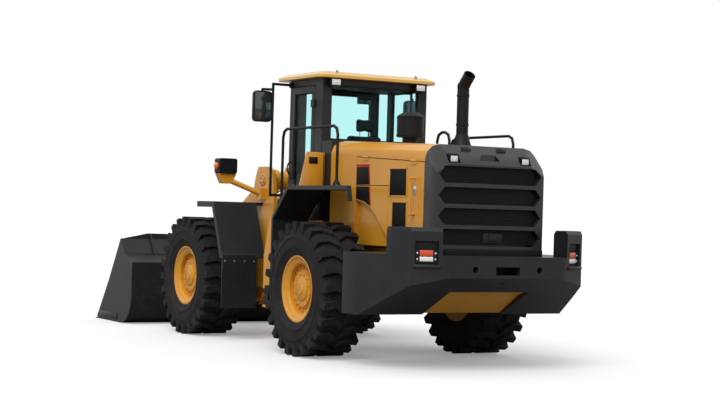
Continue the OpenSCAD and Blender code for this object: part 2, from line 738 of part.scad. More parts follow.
module cab_door() {
  g = panel_gap;
  y = cab_half_w - cab_wall;
  color(dark) place() {
    difference() {
      block(cab_door_x[0] + g, cab_door_x[1] - g, y, cab_half_w, door_low + g, head - g);
      block(cab_door_x[0] + post, cab_door_x[1] - post, y - over, cab_half_w + over,
        door_low + 2 * post, head - post);
    }
    for (z = [door_low + 3 * post, head - 3 * post]) {
      translate([cab_door_x[0], cab_half_w + hinge_r, z]) cylinder(h = post, r = hinge_r - pin_gap);
      block(cab_door_x[0], cab_door_x[0] + post, cab_half_w + pin_gap, cab_half_w + hinge_r, z, z + post);
      block(cab_door_x[0] + 2 * g, cab_door_x[0] + post, cab_half_w - over, cab_half_w + over, z, z + post);
    }
  }
}
module door_glass() {
  y = cab_half_w - cab_wall * (pane_share + pane_in_share);
  color(pane, 0.4) place() block(cab_door_x[0] + post + pin_gap, cab_door_x[1] - post - pin_gap,
    y, y + cab_wall * pane_share, door_low + 2 * post + pin_gap, head - post - pin_gap);
}
seat_at = [860, 0];
seat_size = [500, 520, 130];
seat_base_h = 420;
seat_base_share = 0.7;
back_h = 620;
head_rest = [90, 280, 200];
module seat() {
  z = cab_low + cab_wall;
  color(black) place() translate([seat_at[0], seat_at[1], z]) {
    translate([0, -seat_size[1] / 4, 0])
      cube([seat_size[0] * seat_base_share, seat_size[1] / 2, seat_base_h + over]);
    translate([0, -seat_size[1] / 2, seat_base_h]) cube(seat_size);
    translate([0, -seat_size[1] / 2, seat_base_h]) cube([seat_size[2], seat_size[1], back_h]);
    translate([0, -head_rest[1] / 2, seat_base_h + back_h - over]) cube(head_rest);
  }
}
column_at = 1480;
wheel_at = [1390, 2330];
wheel_r = 200;
wheel_tube = 16;
wheel_tilt = -20;
module steering_console() {
  foot = [column_at, 0, cab_low + cab_wall];
  hub = [wheel_at[0], 0, wheel_at[1]];
  color(black) place() {
    bar(foot + [0, 0, wheel_tube], hub, wheel_tube * 3);
    translate(foot - [6 * wheel_tube, 6 * wheel_tube, 0])
      cube([10 * wheel_tube, 12 * wheel_tube, 4 * wheel_tube]);
    translate(hub) rotate([0, wheel_tilt, 0]) {
      rotate_extrude() translate([wheel_r, 0]) circle(wheel_tube);
      for (a = [0, 120, 240]) rotate([0, 90, a]) cylinder(h = wheel_r, r = wheel_tube / 2);
    }
  }
}
// Platform, fenders, ladders and rails
fender_out = 1250;
fender_in = 760;
deck_top = 1990;
deck_t = 50;
deck_x = [-951, 531];
deck_front = [930, 1604];
plate_low = 700;
fender_skirt = 1815;
plate_t = 40;
slope_share = 0.6;
platform_slope = (deck_top - deck_front[1]) / (deck_front[0] - deck_x[1]);
module fender_profile() {
  polygon([
    [deck_x[0], deck_top], [deck_x[1], deck_top], deck_front, [deck_front[0], plate_low],
    [deck_front[0] - plate_t, plate_low], [deck_front[0] - plate_t, deck_front[1] - plate_t * slope_share],
    [deck_x[1] - plate_t / 2, deck_top - deck_t], [deck_x[0], deck_top - deck_t],
    [deck_x[0] - over * 4, fender_skirt], [deck_x[0] - over * 8, fender_skirt]
  ]);
}
module rear_fenders() {
  color(dark) place() both_sides() {
    slab(fender_in, fender_out - fender_in) fender_profile();
    block(deck_x[1] - deck_t * 4, deck_x[1] - deck_t, hood_half_w + seat_gap, fender_in + over,
      deck_top - deck_t, deck_top);
    block(deck_front[0] - plate_t, deck_front[0], beam_y + beam_t + seat_gap, fender_in + over,
      plate_low, beam_top);
  }
}
ladder_l = 220;
ladder_x = [deck_front[0], deck_front[0] + ladder_l];
ladder_y = [1080, 1230];
step_z = [841, 1146, 1450];
low_step_z = 500;
step_t = 30;
side_t = 15;
module ladders() {
  x0 = ladder_x[0] + seat_gap;
  color(paint) place() both_sides() {
    for (y = [ladder_y[0], ladder_y[1] - side_t]) slab(y, side_t) polygon([
      [x0, deck_front[1]], [x0 + step_t * 3, deck_front[1]], [ladder_x[1], step_z[1]],
      [ladder_x[1], plate_low + step_t], [x0, plate_low + step_t]
    ]);
    for (z = step_z) block(x0, ladder_x[1] - (z > step_z[1] ? step_t * 3 : 0), ladder_y[0] + over,
      ladder_y[1] - over, z, z + step_t);
    block(ladder_x[1] - 5 * step_t, ladder_x[1], ladder_y[0], ladder_y[1], low_step_z, low_step_z + step_t);
  }
}
// Flexible straps that hang the lowest step from the ladder's side plates
module step_straps() {
  lap = side_t + seat_gap;
  color(black) place() both_sides() for (y = [ladder_y[0] + lap, ladder_y[1] - lap - side_t])
    block(ladder_x[1] - 4 * step_t, ladder_x[1] - step_t, y, y + side_t, low_step_z + step_t + seat_gap,
      step_z[0] - seat_gap);
}
hand_x = [-620, 770];
hand_y = 1200;
hand_z = 2670;
module handrails() {
  a = hand_x[0];
  b = hand_x[1];
  mid = deck_x[1] - deck_t;
  foot = deck_top + rail_r / 2;
  low = deck_top - (b - 2 * rail_r - deck_x[1]) * platform_slope + rail_r;
  color(black) place() both_sides() {
    rail(eased([[a, hand_y, foot], [a, hand_y, hand_z], [b, hand_y, hand_z], [b, hand_y, low]]), rail_r);
    bar([mid, hand_y, foot], [mid, hand_y, hand_z], rail_r / bend_share);
    for (x = [a, mid]) translate([x, hand_y, deck_top])
      cylinder(h = 4 * rail_r, r1 = 3 * rail_r, r2 = rail_r * post_share);
    slab(hand_y - 2 * rail_r, 4 * rail_r) polygon([
      [b - 2 * rail_r, deck_top - (b - 2 * rail_r - deck_x[1]) * platform_slope],
      [b + 2 * rail_r, deck_top - (b + 2 * rail_r - deck_x[1]) * platform_slope],
      [b + 2 * rail_r, low + rail_r], [b - 2 * rail_r, low + rail_r]
    ]);
  }
}
box_x = [330, 800];
box_y = [745, 900];
box_top = 2405;
box_top_share = 0.6;
module side_box() {
  z = deck_top + seat_gap;
  foot = z - (box_x[1] - deck_x[1]) * platform_slope + seat_gap;
  color(paint) place() slab(box_y[0], box_y[1] - box_y[0]) polygon([
    [box_x[0], z], [box_x[0], box_top], [between(box_x[0], box_x[1], box_top_share), box_top], [box_x[1], z],
    [box_x[1], foot], [deck_x[1], z]
  ]);
}
// Mirrors on a long grab tube beside the cab's front post
mirror_at = [1600, 1100, 2990];
mirror_size = [50, 250, 390];
mirror_r = 50;
mirror_arm_z = 3200;
grab_at = [1480, 1010];
grab_z = [3270, 1880];
module mirrors() {
  d = [cab_nose - cab_post, cab_nose_half - cab_half_w];
  u = d / norm(d) * 2 * rail_r;
  foot = [cab_post + u[0] - u[1], cab_half_w + u[1] + u[0], grab_z[1]];
  root = [cab_post - 2 * rail_r, cab_half_w + rail_r, grab_z[0]];
  arm = [grab_at[0], grab_at[1], mirror_arm_z];
  color(black) place() both_sides() {
    block(root[0] - 2 * rail_r, root[0] + 2 * rail_r, cab_half_w, root[1] + over,
      root[2] - 2 * rail_r, root[2] + 2 * rail_r);
    rail([root, [grab_at[0], grab_at[1], grab_z[0]], [grab_at[0], grab_at[1], grab_z[1]], foot], rail_r);
    translate([cab_post, cab_half_w, grab_z[1]]) rotate(atan2(d[1], d[0]))
      block(0, 4 * rail_r, seat_gap, 3 * rail_r, -2 * rail_r, 2 * rail_r);
    translate(mirror_at - [mirror_size[0] / 2, 0, 0]) rotate([90, 0, 90]) linear_extrude(mirror_size[0])
      soft_rect(mirror_size[1], mirror_size[2], mirror_r);
    rail([arm, [mirror_at[0], mirror_at[1], mirror_arm_z + over], mirror_at], rail_r / bend_share);
  }
}
// Work lamps under the roof's rear edge and in the notches of the grille housing
roof_lamp_y = 600;
roof_lamp = [90, 150, 100];
lamp_in = 12;
grille_lamp = [60, 116, 90];
module work_lamp(size) {
  difference() {
    cube(size);
    translate([-over, lamp_in, lamp_in]) cube([lamp_in + over, size[1] - 2 * lamp_in, size[2] - 2 * lamp_in]);
  }
}
module work_lamps() {
  color(black) place() both_sides() {
    translate([roof_x[0] + over, roof_lamp_y - roof_lamp[1] / 2, roof_z - roof_t - roof_lamp[2] - seat_gap])
      work_lamp(roof_lamp);
    translate([-grille_lamp_x - grille_lamp[0] - seat_gap, grille_lamp_y - grille_lamp[1] / 2,
      grille_lamp_z[0] + seat_gap]) work_lamp(grille_lamp);
  }
}
// Front chassis: cross plates and the joint lug, between tower plates that carry the boom
tower_y = [220, 570];
tower_pt = 50;
front_low = axle_z + axle_seat_h;
tower_shares = [0.34242, 0.0697];
tower_back = front_x - wheelbase * tower_shares[0];
tower_foot = front_x - wheelbase * tower_shares[1];
tower_low = fork_low + 2 * fork_t;
crown_shares = [[-1.73, 0.87], [-0.93, 1.2], [1.07, 1.2], [1.53, 0.4]];
nose_l = 450;
nose_x = front_x + nose_l;
nose_z = [700, 1010];
lug_r_share = 2;
lug_root_share = 1.2;
// Side view of the tower: the inner plates end at the foot, the outer ones run on over the axle
module tower_profile(outer) {
  crown = [for (s = crown_shares) boom_pin + arm_r[0] * s];
  top = concat([[tower_back, tower_low], [tower_back, boom_pin[1] - arm_r[0]]], crown,
    [[tower_foot, nose_z[1] + eye_r]]);
  polygon(concat(top, outer ? [
    [tower_foot + eye_r, nose_z[1]], [nose_x, nose_z[1]], [nose_x, nose_z[0]],
    [front_x + seat_l / 2 + eye_r, nose_z[0]], [front_x + seat_l / 2, front_low],
    [tower_foot + seat_l / 10, front_low], [tower_foot, tower_low]
  ] : [[tower_foot, tower_low]]));
}
// Plates, pins and the lift cylinders' cheeks of each side
module tower_plates() {
  color(paint) place() both_sides() {
    slab(tower_y[0] - tower_pt, tower_pt) tower_profile(false);
    slab(tower_y[1], tower_pt) tower_profile(true);
    cross_bar(boom_pin, pin_r, tower_y[0] - tower_pt, tower_y[1] - tower_y[0] + 2 * tower_pt);
    cross_bar(lift_pin, pin_r, tower_y[0] - over, lift_y + eye_w - tower_y[0]);
    slab(lift_y + eye_w / 2 + move_gap, tower_pt) {
      translate(lift_pin) circle(eye_r);
      translate([tower_back, lift_pin[1] - eye_r]) square([lift_pin[0] - tower_back, 2 * eye_r]);
    }
  }
}
module front_chassis() {
  lug_z = [fork_low + fork_t + move_gap, fork_high - move_gap];
  lug_r = joint_pin_r * lug_r_share;
  inner = tower_y[0] - tower_pt - seat_gap;
  bay = tower_y[1] - seat_gap;
  outer = tower_y[1] + tower_pt;
  color(paint) place() difference() {
    union() {
      block(tower_back - plate_t, tower_back - seat_gap, -outer, outer, tower_low, lift_pin[1] + eye_r);
      block(nose_x - plate_t, nose_x, -bay, bay, nose_z[0], nose_z[1]);
      cross_bar(tilt_pin, pin_r, -inner, 2 * inner);
      translate([0, 0, lug_z[0]]) linear_extrude(lug_z[1] - lug_z[0]) {
        translate([hinge_x, 0]) circle(lug_r);
        polygon([
          [hinge_x, lug_r], [hinge_x, -lug_r], [tower_back - over, -fork_r * lug_root_share],
          [tower_back - over, fork_r * lug_root_share]
        ]);
      }
      both_sides() front_steer_lug();
    }
    translate([hinge_x, 0, fork_low]) cylinder(h = fork_high, r = joint_pin_r + pin_gap);
  }
}
module front_steer_lug() {
  x = tower_back - over - steer_front[0];
  gap = steer_eye_h / 2 + move_gap;
  for (z = [steer_z - gap - steer_lug_t, steer_z + gap])
    translate([steer_front[0], steer_front[1], z]) linear_extrude(steer_lug_t) {
      circle(steer_lug_r * post_share);
      translate([0, -steer_lug_r]) square([x, 2 * steer_lug_r]);
    }
}
guard_y = [735, 1350];
guard_top = 1783;
guard_t = 38;
guard_x = [-321, -844, -1173];
guard_low = [1060, 420];
guard_flap_y = 860;
flap_t = 14;
flap_lap = 50;
guard_flange = 75;
// Side view of the guard at a thickness: a flat top and a slope behind the wheel
module guard_profile(x, t) {
  polygon([
    [x[0], guard_top - t], [x[0], guard_top], [x[1], guard_top], [x[2], guard_low[0]], [x[2] + t, guard_low[0]],
    [x[1] + t / 2, guard_top - t]
  ]);
}
module front_fenders() {
  x = [for (v = guard_x) front_x + v];
  back = x[2] - guard_t / 2;
  color(dark) place() both_sides() {
    slab(guard_y[0], guard_y[1] - guard_y[0]) guard_profile(x, guard_t);
    slab(guard_y[1] - guard_t / 2, guard_t / 2) guard_profile(x, guard_flange);
    slab(guard_flap_y, guard_y[1] - guard_flap_y) polygon([
      [x[2], guard_low[0] + flap_lap], [back, guard_low[0]], [back, guard_low[1]], [back + flap_t, guard_low[1]],
      [x[2] + flap_t, guard_low[0]], [x[2] + guard_t, guard_low[0] + flap_lap]
    ]);
    block(x[1] + guard_t, x[0] - guard_t, tower_y[1] + tower_pt + seat_gap, guard_y[0] + over,
      guard_top - guard_t, guard_top);
  }
}
head_at = [-660, 1100, 2250];
head_size = [170, 250, 200];
head_r = 30;
arm_foot = [-820, 1900];
arm_share = 2.1;
bracket_h = 130;
bracket_share = 0.75;
function head_place() = [front_x + head_at[0], head_at[1], head_at[2]];
module headlamp_brackets() {
  y = tower_y[1] + tower_pt + seat_gap;
  r = rail_r * arm_share;
  p = [front_x + arm_foot[0], y + r, arm_foot[1]];
  q = head_place() - [0, 0, head_size[2] / 2];
  color(paint) place() both_sides() {
    bar(p, q - [0, 0, bracket_h / 2], r);
    block(p[0] - 2 * r, p[0] + 2 * r, y, y + 2 * r, p[2] - 2 * r, p[2] + 2 * r);
    translate(q) rotate([90, 0, 90]) linear_extrude(head_size[0] * bracket_share, center = true)
      polygon(mirrored([[head_size[1] / 2, 0], [head_size[1] / 4, -bracket_h]]));
  }
}
module headlamps() {
  color(black) place() both_sides() translate(head_place() + [-head_size[0] / 2, 0, seat_gap]) difference() {
    rotate([90, 0, 90]) linear_extrude(head_size[0]) soft_rect(head_size[1], head_size[2], head_r);
    translate([head_size[0] - lamp_in, 0, 0]) rotate([90, 0, 90]) linear_extrude(2 * lamp_in)
      soft_rect(head_size[1] - 2 * head_r, head_size[2] - 2 * head_r, head_r);
  }
}
// Turn indicators at the outer ends of the headlamps
indicator_r = 45;
indicator_l = 40;
module indicators() {
  at = head_place() + [0, head_size[1] / 2 + seat_gap, 0];
  color(amber) place() both_sides() translate(at) rotate([-90, 0, 0]) {
    cylinder(h = indicator_l / 2, r = indicator_r);
    translate([0, 0, indicator_l / 2]) cylinder(h = indicator_l / 2, r1 = indicator_r, r2 = indicator_r / 2);
  }
}

// Boom: two arms, a cross tube and the bellcrank's lugs
arm_r = [150, 105];
arm_mid_r = 230;
boom_hub_share = 0.8;
cross_r = 105;
cross_lug_share = 1.2;
crank_lug_r = 140;
crank_lug_y = 150;
crank_lug_t = 50;
cross_share = 0.36;
knee_share = 0.5;
knee_rise = [80, 100];
cross_at = between(boom_pin, bucket_pin, cross_share) + knee_rise;
knee = between(boom_pin, bucket_pin, knee_share) + knee_rise;
module boom() {
  color(paint) place() difference() {
    union() {
      both_sides() slab(arm_y - arm_t / 2, arm_t) {
        strap(boom_pin, knee, arm_r[0], arm_mid_r);
        strap(knee, bucket_pin, arm_mid_r, arm_r[1]);
      }
      both_sides() cross_bar(boom_pin, arm_r[0] * boom_hub_share, tower_y[0] + move_gap,
        tower_y[1] - tower_y[0] - 2 * move_gap);
      cross_bar(cross_at, cross_r, -arm_y, 2 * arm_y);
      both_sides() slab(crank_lug_y, crank_lug_t)
        strap(cross_at, crank_pin, cross_r * cross_lug_share, crank_lug_r);
      cross_bar(crank_pin, pin_r, -crank_lug_y - crank_lug_t, 2 * (crank_lug_y + crank_lug_t));
    }
    both_sides() cross_bar(boom_pin, pin_r + pin_gap, 0, tower_y[1] + tower_pt);
    both_sides() cross_bar(bucket_pin, pin_r + pin_gap, 0, 2 * arm_y);
  }
}
crank_r = 130;
crank_low_share = 1.2;
crank_hub_r = 150;
crank_cheek_y = 75;
crank_cheek_t = 45;
module bellcrank() {
  y = crank_cheek_y;
  color(paint) place() difference() {
    union() {
      both_sides() slab(y, crank_cheek_t) {
        strap(crank_pin, crank_low, crank_hub_r, crank_r * crank_low_share);
        strap(crank_pin, crank_top, crank_hub_r, crank_r);
      }
      cross_bar(crank_pin, crank_hub_r, -crank_lug_y + move_gap, 2 * crank_lug_y - 2 * move_gap);
    }
    cross_bar(crank_pin, pin_r + pin_gap, -2 * crank_lug_y, 4 * crank_lug_y);
  }
}
link_bow = 80;
link_half_h = 65;
// The link is bowed upward so that it clears the bucket's back when the bucket dumps
module bucket_link() {
  w = 2 * crank_cheek_y - 2 * move_gap;
  d = (link_pin - crank_low) / norm(link_pin - crank_low);
  crown = between(crank_low, link_pin, 1 / 2) + link_bow * [-d[1], d[0]];
  color(paint) place() difference() {
    slab(-w / 2, w) {
      strap(crank_low, crown, eye_r, link_half_h);
      strap(crown, link_pin, link_half_h, eye_r);
    }
    cross_bar(link_pin, pin_r + pin_gap, -w, 2 * w);
  }
}
// A cylinder's barrel and rod between two side-view points, centred on a plane at y.
// The shares give the place of the rod's tail and of the barrel's mouth along the cylinder.
module barrel(p, q, r, y, shares) {
  a = [p[0], y, p[1]];
  b = [q[0], y, q[1]];
  mouth = along(a, b, norm(b - a) * shares[1]);
  difference() {
    union() {
      cross_bar(p, eye_r, y - eye_w / 2, eye_w);
      bar(a, along(a, b, eye_r + 2 * move_gap), eye_w / 2 - over);
      bar(along(a, b, eye_r + move_gap), mouth, r);
      bar(along(a, b, norm(mouth - a) - r), mouth, r + over);
    }
    cross_bar(p, pin_r + pin_gap, y - eye_w, 2 * eye_w);
    bar(along(a, b, eye_r + 3 * move_gap), b, rod_d / 2 + pin_gap);
  }
}
module rod(p, q, y, shares) {
  a = [p[0], y, p[1]];
  b = [q[0], y, q[1]];
  bar(along(a, b, norm(b - a) * shares[0]), b, rod_d / 2);
  cross_bar(q, eye_r, y - eye_w / 2, eye_w);
}
tilt_shares = [0.25, 0.62];
lift_shares = [0.12, 0.875];
tilt_d = 190;
lift_y = 325;
module tilt_barrel() { color(paint) place() barrel(tilt_pin, crank_top, tilt_d / 2, 0, tilt_shares); }
module tilt_rod() { color(steel) place() rod(tilt_pin, crank_top, 0, tilt_shares); }
module lift_barrels() {
  color(paint) place() both_sides() barrel(lift_pin, lift_eye, lift_d / 2, lift_y, lift_shares);
}
module lift_rods() { color(steel) place() both_sides() rod(lift_pin, lift_eye, lift_y, lift_shares); }
// Bucket: a shell of one side profile between side walls, with hinge lugs, ledges behind and a spill guard
bucket_shares = [0.47525, 0.31188];
bucket_back = bucket_reach * bucket_shares[0];
spill_back = bucket_reach * bucket_shares[1];
bucket_heel_r = 420;
mouth_shares = [0.55, 0.5];
side_wall = 35;
guard_rise = 80;
guard_half_share = 0.363;
guard_rib_y = 1030;
guard_rib_t = 25;
ledge_y = 640;
ledge_z = [890, 1000];
ledge_out = 45;
bucket_lug_t = 50;
bucket_lug_gap = 8;
lug_flat_share = 0.7;
module bucket() {
  lug_in = arm_t / 2 + bucket_lug_gap;
  color(dark) place() difference() {
    union() {
      slab(-bucket_w / 2, bucket_w) bucket_side();
      spill_guard();
      both_sides() slab(ledge_y, bucket_w / 2 - ledge_y) bucket_ledge();
      both_sides() for (y = [arm_y - lug_in - bucket_lug_t, arm_y + lug_in])
        slab(y, bucket_lug_t) bucket_lug(bucket_pin);
      both_sides() slab(crank_cheek_y + move_gap, bucket_lug_t) bucket_lug(link_pin);
      both_sides() cross_bar(bucket_pin, pin_r, arm_y - arm_t / 2 - bucket_lug_t, arm_t + 2 * bucket_lug_t);
      cross_bar(link_pin, pin_r, -crank_cheek_y - move_gap - over, 2 * (crank_cheek_y + move_gap + over));
    }
    slab(-bucket_w / 2 + side_wall, bucket_w - 2 * side_wall) bucket_hollow();
  }
}
function heel_arc(inset) =
  let (r = bucket_heel_r, cx = tip_x - bucket_back + r)
  [for (a = [270 : -12 : 162]) [cx + (r - inset) * cos(a), r + (r - inset) * sin(a)]];
// The bucket's outer back line at a height, above the round heel
function back_line(z) =
  let (arc = heel_arc(0), p = arc[len(arc) - 1], q = [tip_x - spill_back - bucket_wall, bucket_h])
  between(p, q, (z - p[1]) / (q[1] - p[1]));
module bucket_side() {
  polygon(concat([[tip_x - edge_l / 2, edge_t + pin_gap], [tip_x - edge_l / 2, 0]], heel_arc(0), [
    [tip_x - spill_back - bucket_wall, bucket_h], [tip_x - spill_back, bucket_h],
    [tip_x - spill_back * mouth_shares[0], bucket_h * mouth_shares[1]], [tip_x - edge_l / 6, edge_t + pin_gap]
  ]));
}
module bucket_hollow() {
  polygon(concat([[tip_x + over, bucket_wall]], heel_arc(bucket_wall), [
    [tip_x - spill_back, bucket_h + over], [tip_x + over, bucket_h + over]
  ]));
}
// A box stiffener along the back, outside the boom's arms: upright over the heel, then sloped to the back
module bucket_ledge() {
  arc = heel_arc(0);
  foot = arc[len(arc) - 2];
  high = back_line(ledge_z[1]);
  polygon([
    foot, [foot[0], ledge_z[0]], high - [over, 0], high + [over, 0], arc[len(arc) - 1] + [over, 0]
  ]);
}
module spill_guard() {
  x = tip_x - spill_back - bucket_wall;
  half = bucket_w * guard_half_share;
  slice(x, bucket_wall) polygon(mirrored([[bucket_w / 2, bucket_h - over], [half, bucket_h + guard_rise]]));
  both_sides() slab(guard_rib_y, guard_rib_t) polygon([
    [x + over, bucket_h + guard_rise - over], back_line(ledge_z[1]) + [over, 0],
    back_line(ledge_z[1]) - [ledge_out, 0], [x, bucket_h + guard_rise - over]
  ]);
}
module bucket_lug(p) {
  seat = [tip_x - bucket_back + bucket_wall, p[1] + eye_r];
  cut = eye_r * lug_flat_share;
  polygon([p + [-eye_r, 0], p + [-cut, cut], seat, [seat[0], max(bucket_wall, p[1] - 2 * eye_r)]]);
  translate(p) circle(eye_r);
}
edge_t = 30;
module cutting_edge() {
  color(dark) place() slab(-bucket_w / 2, bucket_w) polygon([
    [tip_x - edge_l / 2 + pin_gap, 0], [tip_x, 0], [tip_x, edge_t / 3], [tip_x - edge_l / 3, edge_t],
    [tip_x - edge_l / 2 + pin_gap, edge_t]
  ]);
}

rear_chassis();
rear_axle();
counterweight();
engine_block();
hood_shell();
grille_housing();
grille_mesh();
exhaust_stack();
precleaner();
hood_rail();
cab_shell();
cab_roof();
cab_glass();
seat();
steering_console();
rear_fenders();
ladders();
step_straps();
handrails();
side_box();
tail_lamps();
work_lamps();
mirrors();
hood_door_left();
hood_door_right();
louvres_left();
louvres_right();
cab_door();
door_glass();
front_chassis();
tower_plates();
front_axle();
front_fenders();
headlamp_brackets();
headlamps();
indicators();
boom();
bellcrank();
bucket_link();
tilt_barrel();
tilt_rod();
lift_barrels();
lift_rods();
bucket();
cutting_edge();
steer_barrel_left();
steer_barrel_right();
steer_rod_left();
steer_rod_right();
tyre_front_left();
tyre_front_right();
tyre_rear_left();
tyre_rear_right();
rim_front_left();
rim_front_right();
rim_rear_left();
rim_rear_right();
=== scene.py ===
# %% [markdown]
# A wheel loader's looks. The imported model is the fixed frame: every solid is already at its real place in
# metres, with X forward, Y left and Z up. This lesson gives each solid a finish, adds the small pieces that
# a solid model leaves out, and sets up a studio with the camera at the photograph's angle.

# %% Load the frame
import bpy
import json
import math
from mathutils import Matrix, Vector


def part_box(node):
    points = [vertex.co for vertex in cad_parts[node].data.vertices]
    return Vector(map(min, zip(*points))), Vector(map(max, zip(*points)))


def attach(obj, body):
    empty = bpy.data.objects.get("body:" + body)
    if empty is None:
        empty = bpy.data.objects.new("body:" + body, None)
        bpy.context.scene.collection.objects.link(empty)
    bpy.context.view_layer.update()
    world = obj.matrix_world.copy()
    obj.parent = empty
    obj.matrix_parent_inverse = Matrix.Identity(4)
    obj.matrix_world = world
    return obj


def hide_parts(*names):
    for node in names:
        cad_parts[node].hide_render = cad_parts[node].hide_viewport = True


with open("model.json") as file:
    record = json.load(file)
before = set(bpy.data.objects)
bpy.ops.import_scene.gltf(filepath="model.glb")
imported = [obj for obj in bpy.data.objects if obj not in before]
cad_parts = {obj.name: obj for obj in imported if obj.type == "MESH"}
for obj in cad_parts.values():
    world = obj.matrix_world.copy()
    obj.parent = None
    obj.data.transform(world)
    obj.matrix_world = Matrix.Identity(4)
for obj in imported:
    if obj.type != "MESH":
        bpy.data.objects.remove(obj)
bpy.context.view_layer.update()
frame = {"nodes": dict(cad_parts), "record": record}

nodes = frame["nodes"]
MM = 0.001
axle_low, axle_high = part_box("rear_axle")
AXLE_X = (axle_low[0] + axle_high[0]) / 2
SIDES = (("left", 1), ("right", -1))


def at(x, y, z):
    """A place in millimetres, measured from the ground under the middle of the rear axle."""
    return Vector((AXLE_X + x * MM, y * MM, z * MM))


print("solids:", len(nodes), "rear axle at", round(AXLE_X, 3))

# %% [markdown]
# Finishes are node materials that read Object coordinates, so a pattern is fixed to the metal and has a
# real scale in metres. One builder makes the common chain: a colour that varies slowly, grime that gathers
# low on the machine, a roughness that follows the grime, and a fine bump.

# %% Finish builder
def linear(hex_colour):
    """Turn a written colour such as d9a02a into the shader's linear colour."""
    values = [int(hex_colour[i:i + 2], 16) / 255 for i in (0, 2, 4)]
    return [v / 12.92 if v <= 0.04045 else ((v + 0.055) / 1.055) ** 2.4 for v in values] + [1.0]


def new_finish(name):
    """An empty node material with its tree, its shader and the object's coordinates."""
    material = bpy.data.materials.new(name)
    material.use_nodes = True
    tree = material.node_tree
    coords = tree.nodes.new("ShaderNodeTexCoord").outputs["Object"]
    return material, tree, tree.nodes["Principled BSDF"], coords


def noise(tree, coords, scale, detail=4.0, rough=0.55):
    node = tree.nodes.new("ShaderNodeTexNoise")
    node.inputs["Scale"].default_value = scale
    node.inputs["Detail"].default_value = detail
    node.inputs["Roughness"].default_value = rough
    tree.links.new(coords, node.inputs["Vector"])
    return node.outputs["Fac"]


def ramp(tree, value, low, high, low_out=0.0, high_out=1.0):
    node = tree.nodes.new("ShaderNodeMapRange")
    node.clamp = True
    node.inputs["From Min"].default_value = low
    node.inputs["From Max"].default_value = high
    node.inputs["To Min"].default_value = low_out
    node.inputs["To Max"].default_value = high_out
    tree.links.new(value, node.inputs["Value"])
    return node.outputs["Result"]


def times(tree, a, b):
    node = tree.nodes.new("ShaderNodeMath")
    node.operation = "MULTIPLY"
    tree.links.new(a, node.inputs[0])
    tree.links.new(b, node.inputs[1])
    return node.outputs["Value"]


def height_of(tree, coords):
    split = tree.nodes.new("ShaderNodeSeparateXYZ")
    tree.links.new(coords, split.inputs["Vector"])
    return split.outputs["Z"]


def blend_colours(tree, factor, first, second):
    """Mix two colours, each a fixed colour or another node's output."""
    node = tree.nodes.new("ShaderNodeMix")
    node.data_type = "RGBA"
    tree.links.new(factor, node.inputs["Factor"])
    for name, colour in (("A", first), ("B", second)):
        socket = [s for s in node.inputs if s.name == name and s.type == "RGBA"][0]
        if isinstance(colour, list):
            socket.default_value = colour
        else:
            tree.links.new(colour, socket)
    return [s for s in node.outputs if s.type == "RGBA"][0]


def bumped(tree, shader, height, strength, distance):
    bump = tree.nodes.new("ShaderNodeBump")
    bump.inputs["Strength"].default_value = strength
    bump.inputs["Distance"].default_value = distance
    tree.links.new(height, bump.inputs["Height"])
    tree.links.new(bump.outputs["Normal"], shader.inputs["Normal"])


def finish(name, colour, shade, rough, grime=0.25, grime_top=1.6, grain=0.0, grain_scale=400.0,
           metallic=0.0, coat=0.0, gloss=0.5, dust="8d8272"):
    """A painted, cast or moulded surface with slow colour drift, low grime and a fine grain."""
    material, tree, shader, coords = new_finish(name)
    drift = ramp(tree, noise(tree, coords, 2.2), 0.3, 0.7)
    base = blend_colours(tree, drift, linear(colour), linear(shade))
    low = ramp(tree, height_of(tree, coords), 0.0, grime_top, 1.0, 0.12)
    patches = ramp(tree, noise(tree, coords, 9.0, 6.0, 0.65), 0.42, 0.75)
    dirt = ramp(tree, times(tree, low, patches), 0.0, 1.0, 0.0, grime)
    tree.links.new(blend_colours(tree, dirt, base, linear(dust)), shader.inputs["Base Color"])
    tree.links.new(ramp(tree, dirt, 0.0, 0.6, rough, min(1.0, rough + 0.35)), shader.inputs["Roughness"])
    shader.inputs["Metallic"].default_value = metallic
    shader.inputs["Specular IOR Level"].default_value = gloss
    shader.inputs["Coat Weight"].default_value = coat
    shader.inputs["Coat Roughness"].default_value = 0.12
    if grain:
        bumped(tree, shader, noise(tree, coords, grain_scale, 3.0), grain, 0.002)
    return material


# %% [markdown]
# The loader has few finishes: yellow paint with a clear coat, dark grey paint on plates and castings, black
# plastic, rubber, polished rods and seat cloth. The grain is finest on paint and coarsest on castings.

# %% Paint, metal, rubber and cloth
yellow = finish("yellow_paint", "dc9a28", "d39023", 0.36, grime=0.12, grain=0.05, grain_scale=120.0,
                coat=0.25, gloss=0.4, dust="9a7c46")
# The roof's yellow is paler than the body's yellow: a painted highlight for the light that falls on the
# roof's top from above.
roof_yellow_painted_highlight = finish("roof_paint_painted_highlight", "e6b75e", "dfae52", 0.3, grime=0.0, grain=0.05, grain_scale=120.0,
                     coat=0.4)
DARK_DUST = "5e574d"
satin = finish("satin_grey", "28282b", "222225", 0.3, grime=0.08, grain=0.06, grain_scale=220.0,
               dust=DARK_DUST)
grey = finish("grey_paint", "262629", "202023", 0.42, grime=0.12, grain=0.08, grain_scale=220.0, gloss=0.28,
              dust=DARK_DUST)
casting = finish("cast_grey", "252528", "1f1f22", 0.5, grime=0.14, grain=0.3, grain_scale=160.0, gloss=0.28,
                 dust=DARK_DUST)
worn_steel = finish("bucket_grey", "252528", "1e1e21", 0.4, grime=0.2, grime_top=0.9, grain=0.12, gloss=0.32,
                    dust=DARK_DUST)
black = finish("black_plastic", "101012", "151517", 0.5, grime=0.06, grain=0.12, grain_scale=600.0,
               gloss=0.2, dust=DARK_DUST)
tread = finish("tyre_rubber", "1d1c1e", "242325", 0.8, grime=0.22, grime_top=2.2, grain=0.3,
               grain_scale=260.0, gloss=0.2, dust="62594d")
rod_steel = finish("polished_rod", "d6d9dc", "c8ccd0", 0.12, grime=0.05, metallic=1.0)
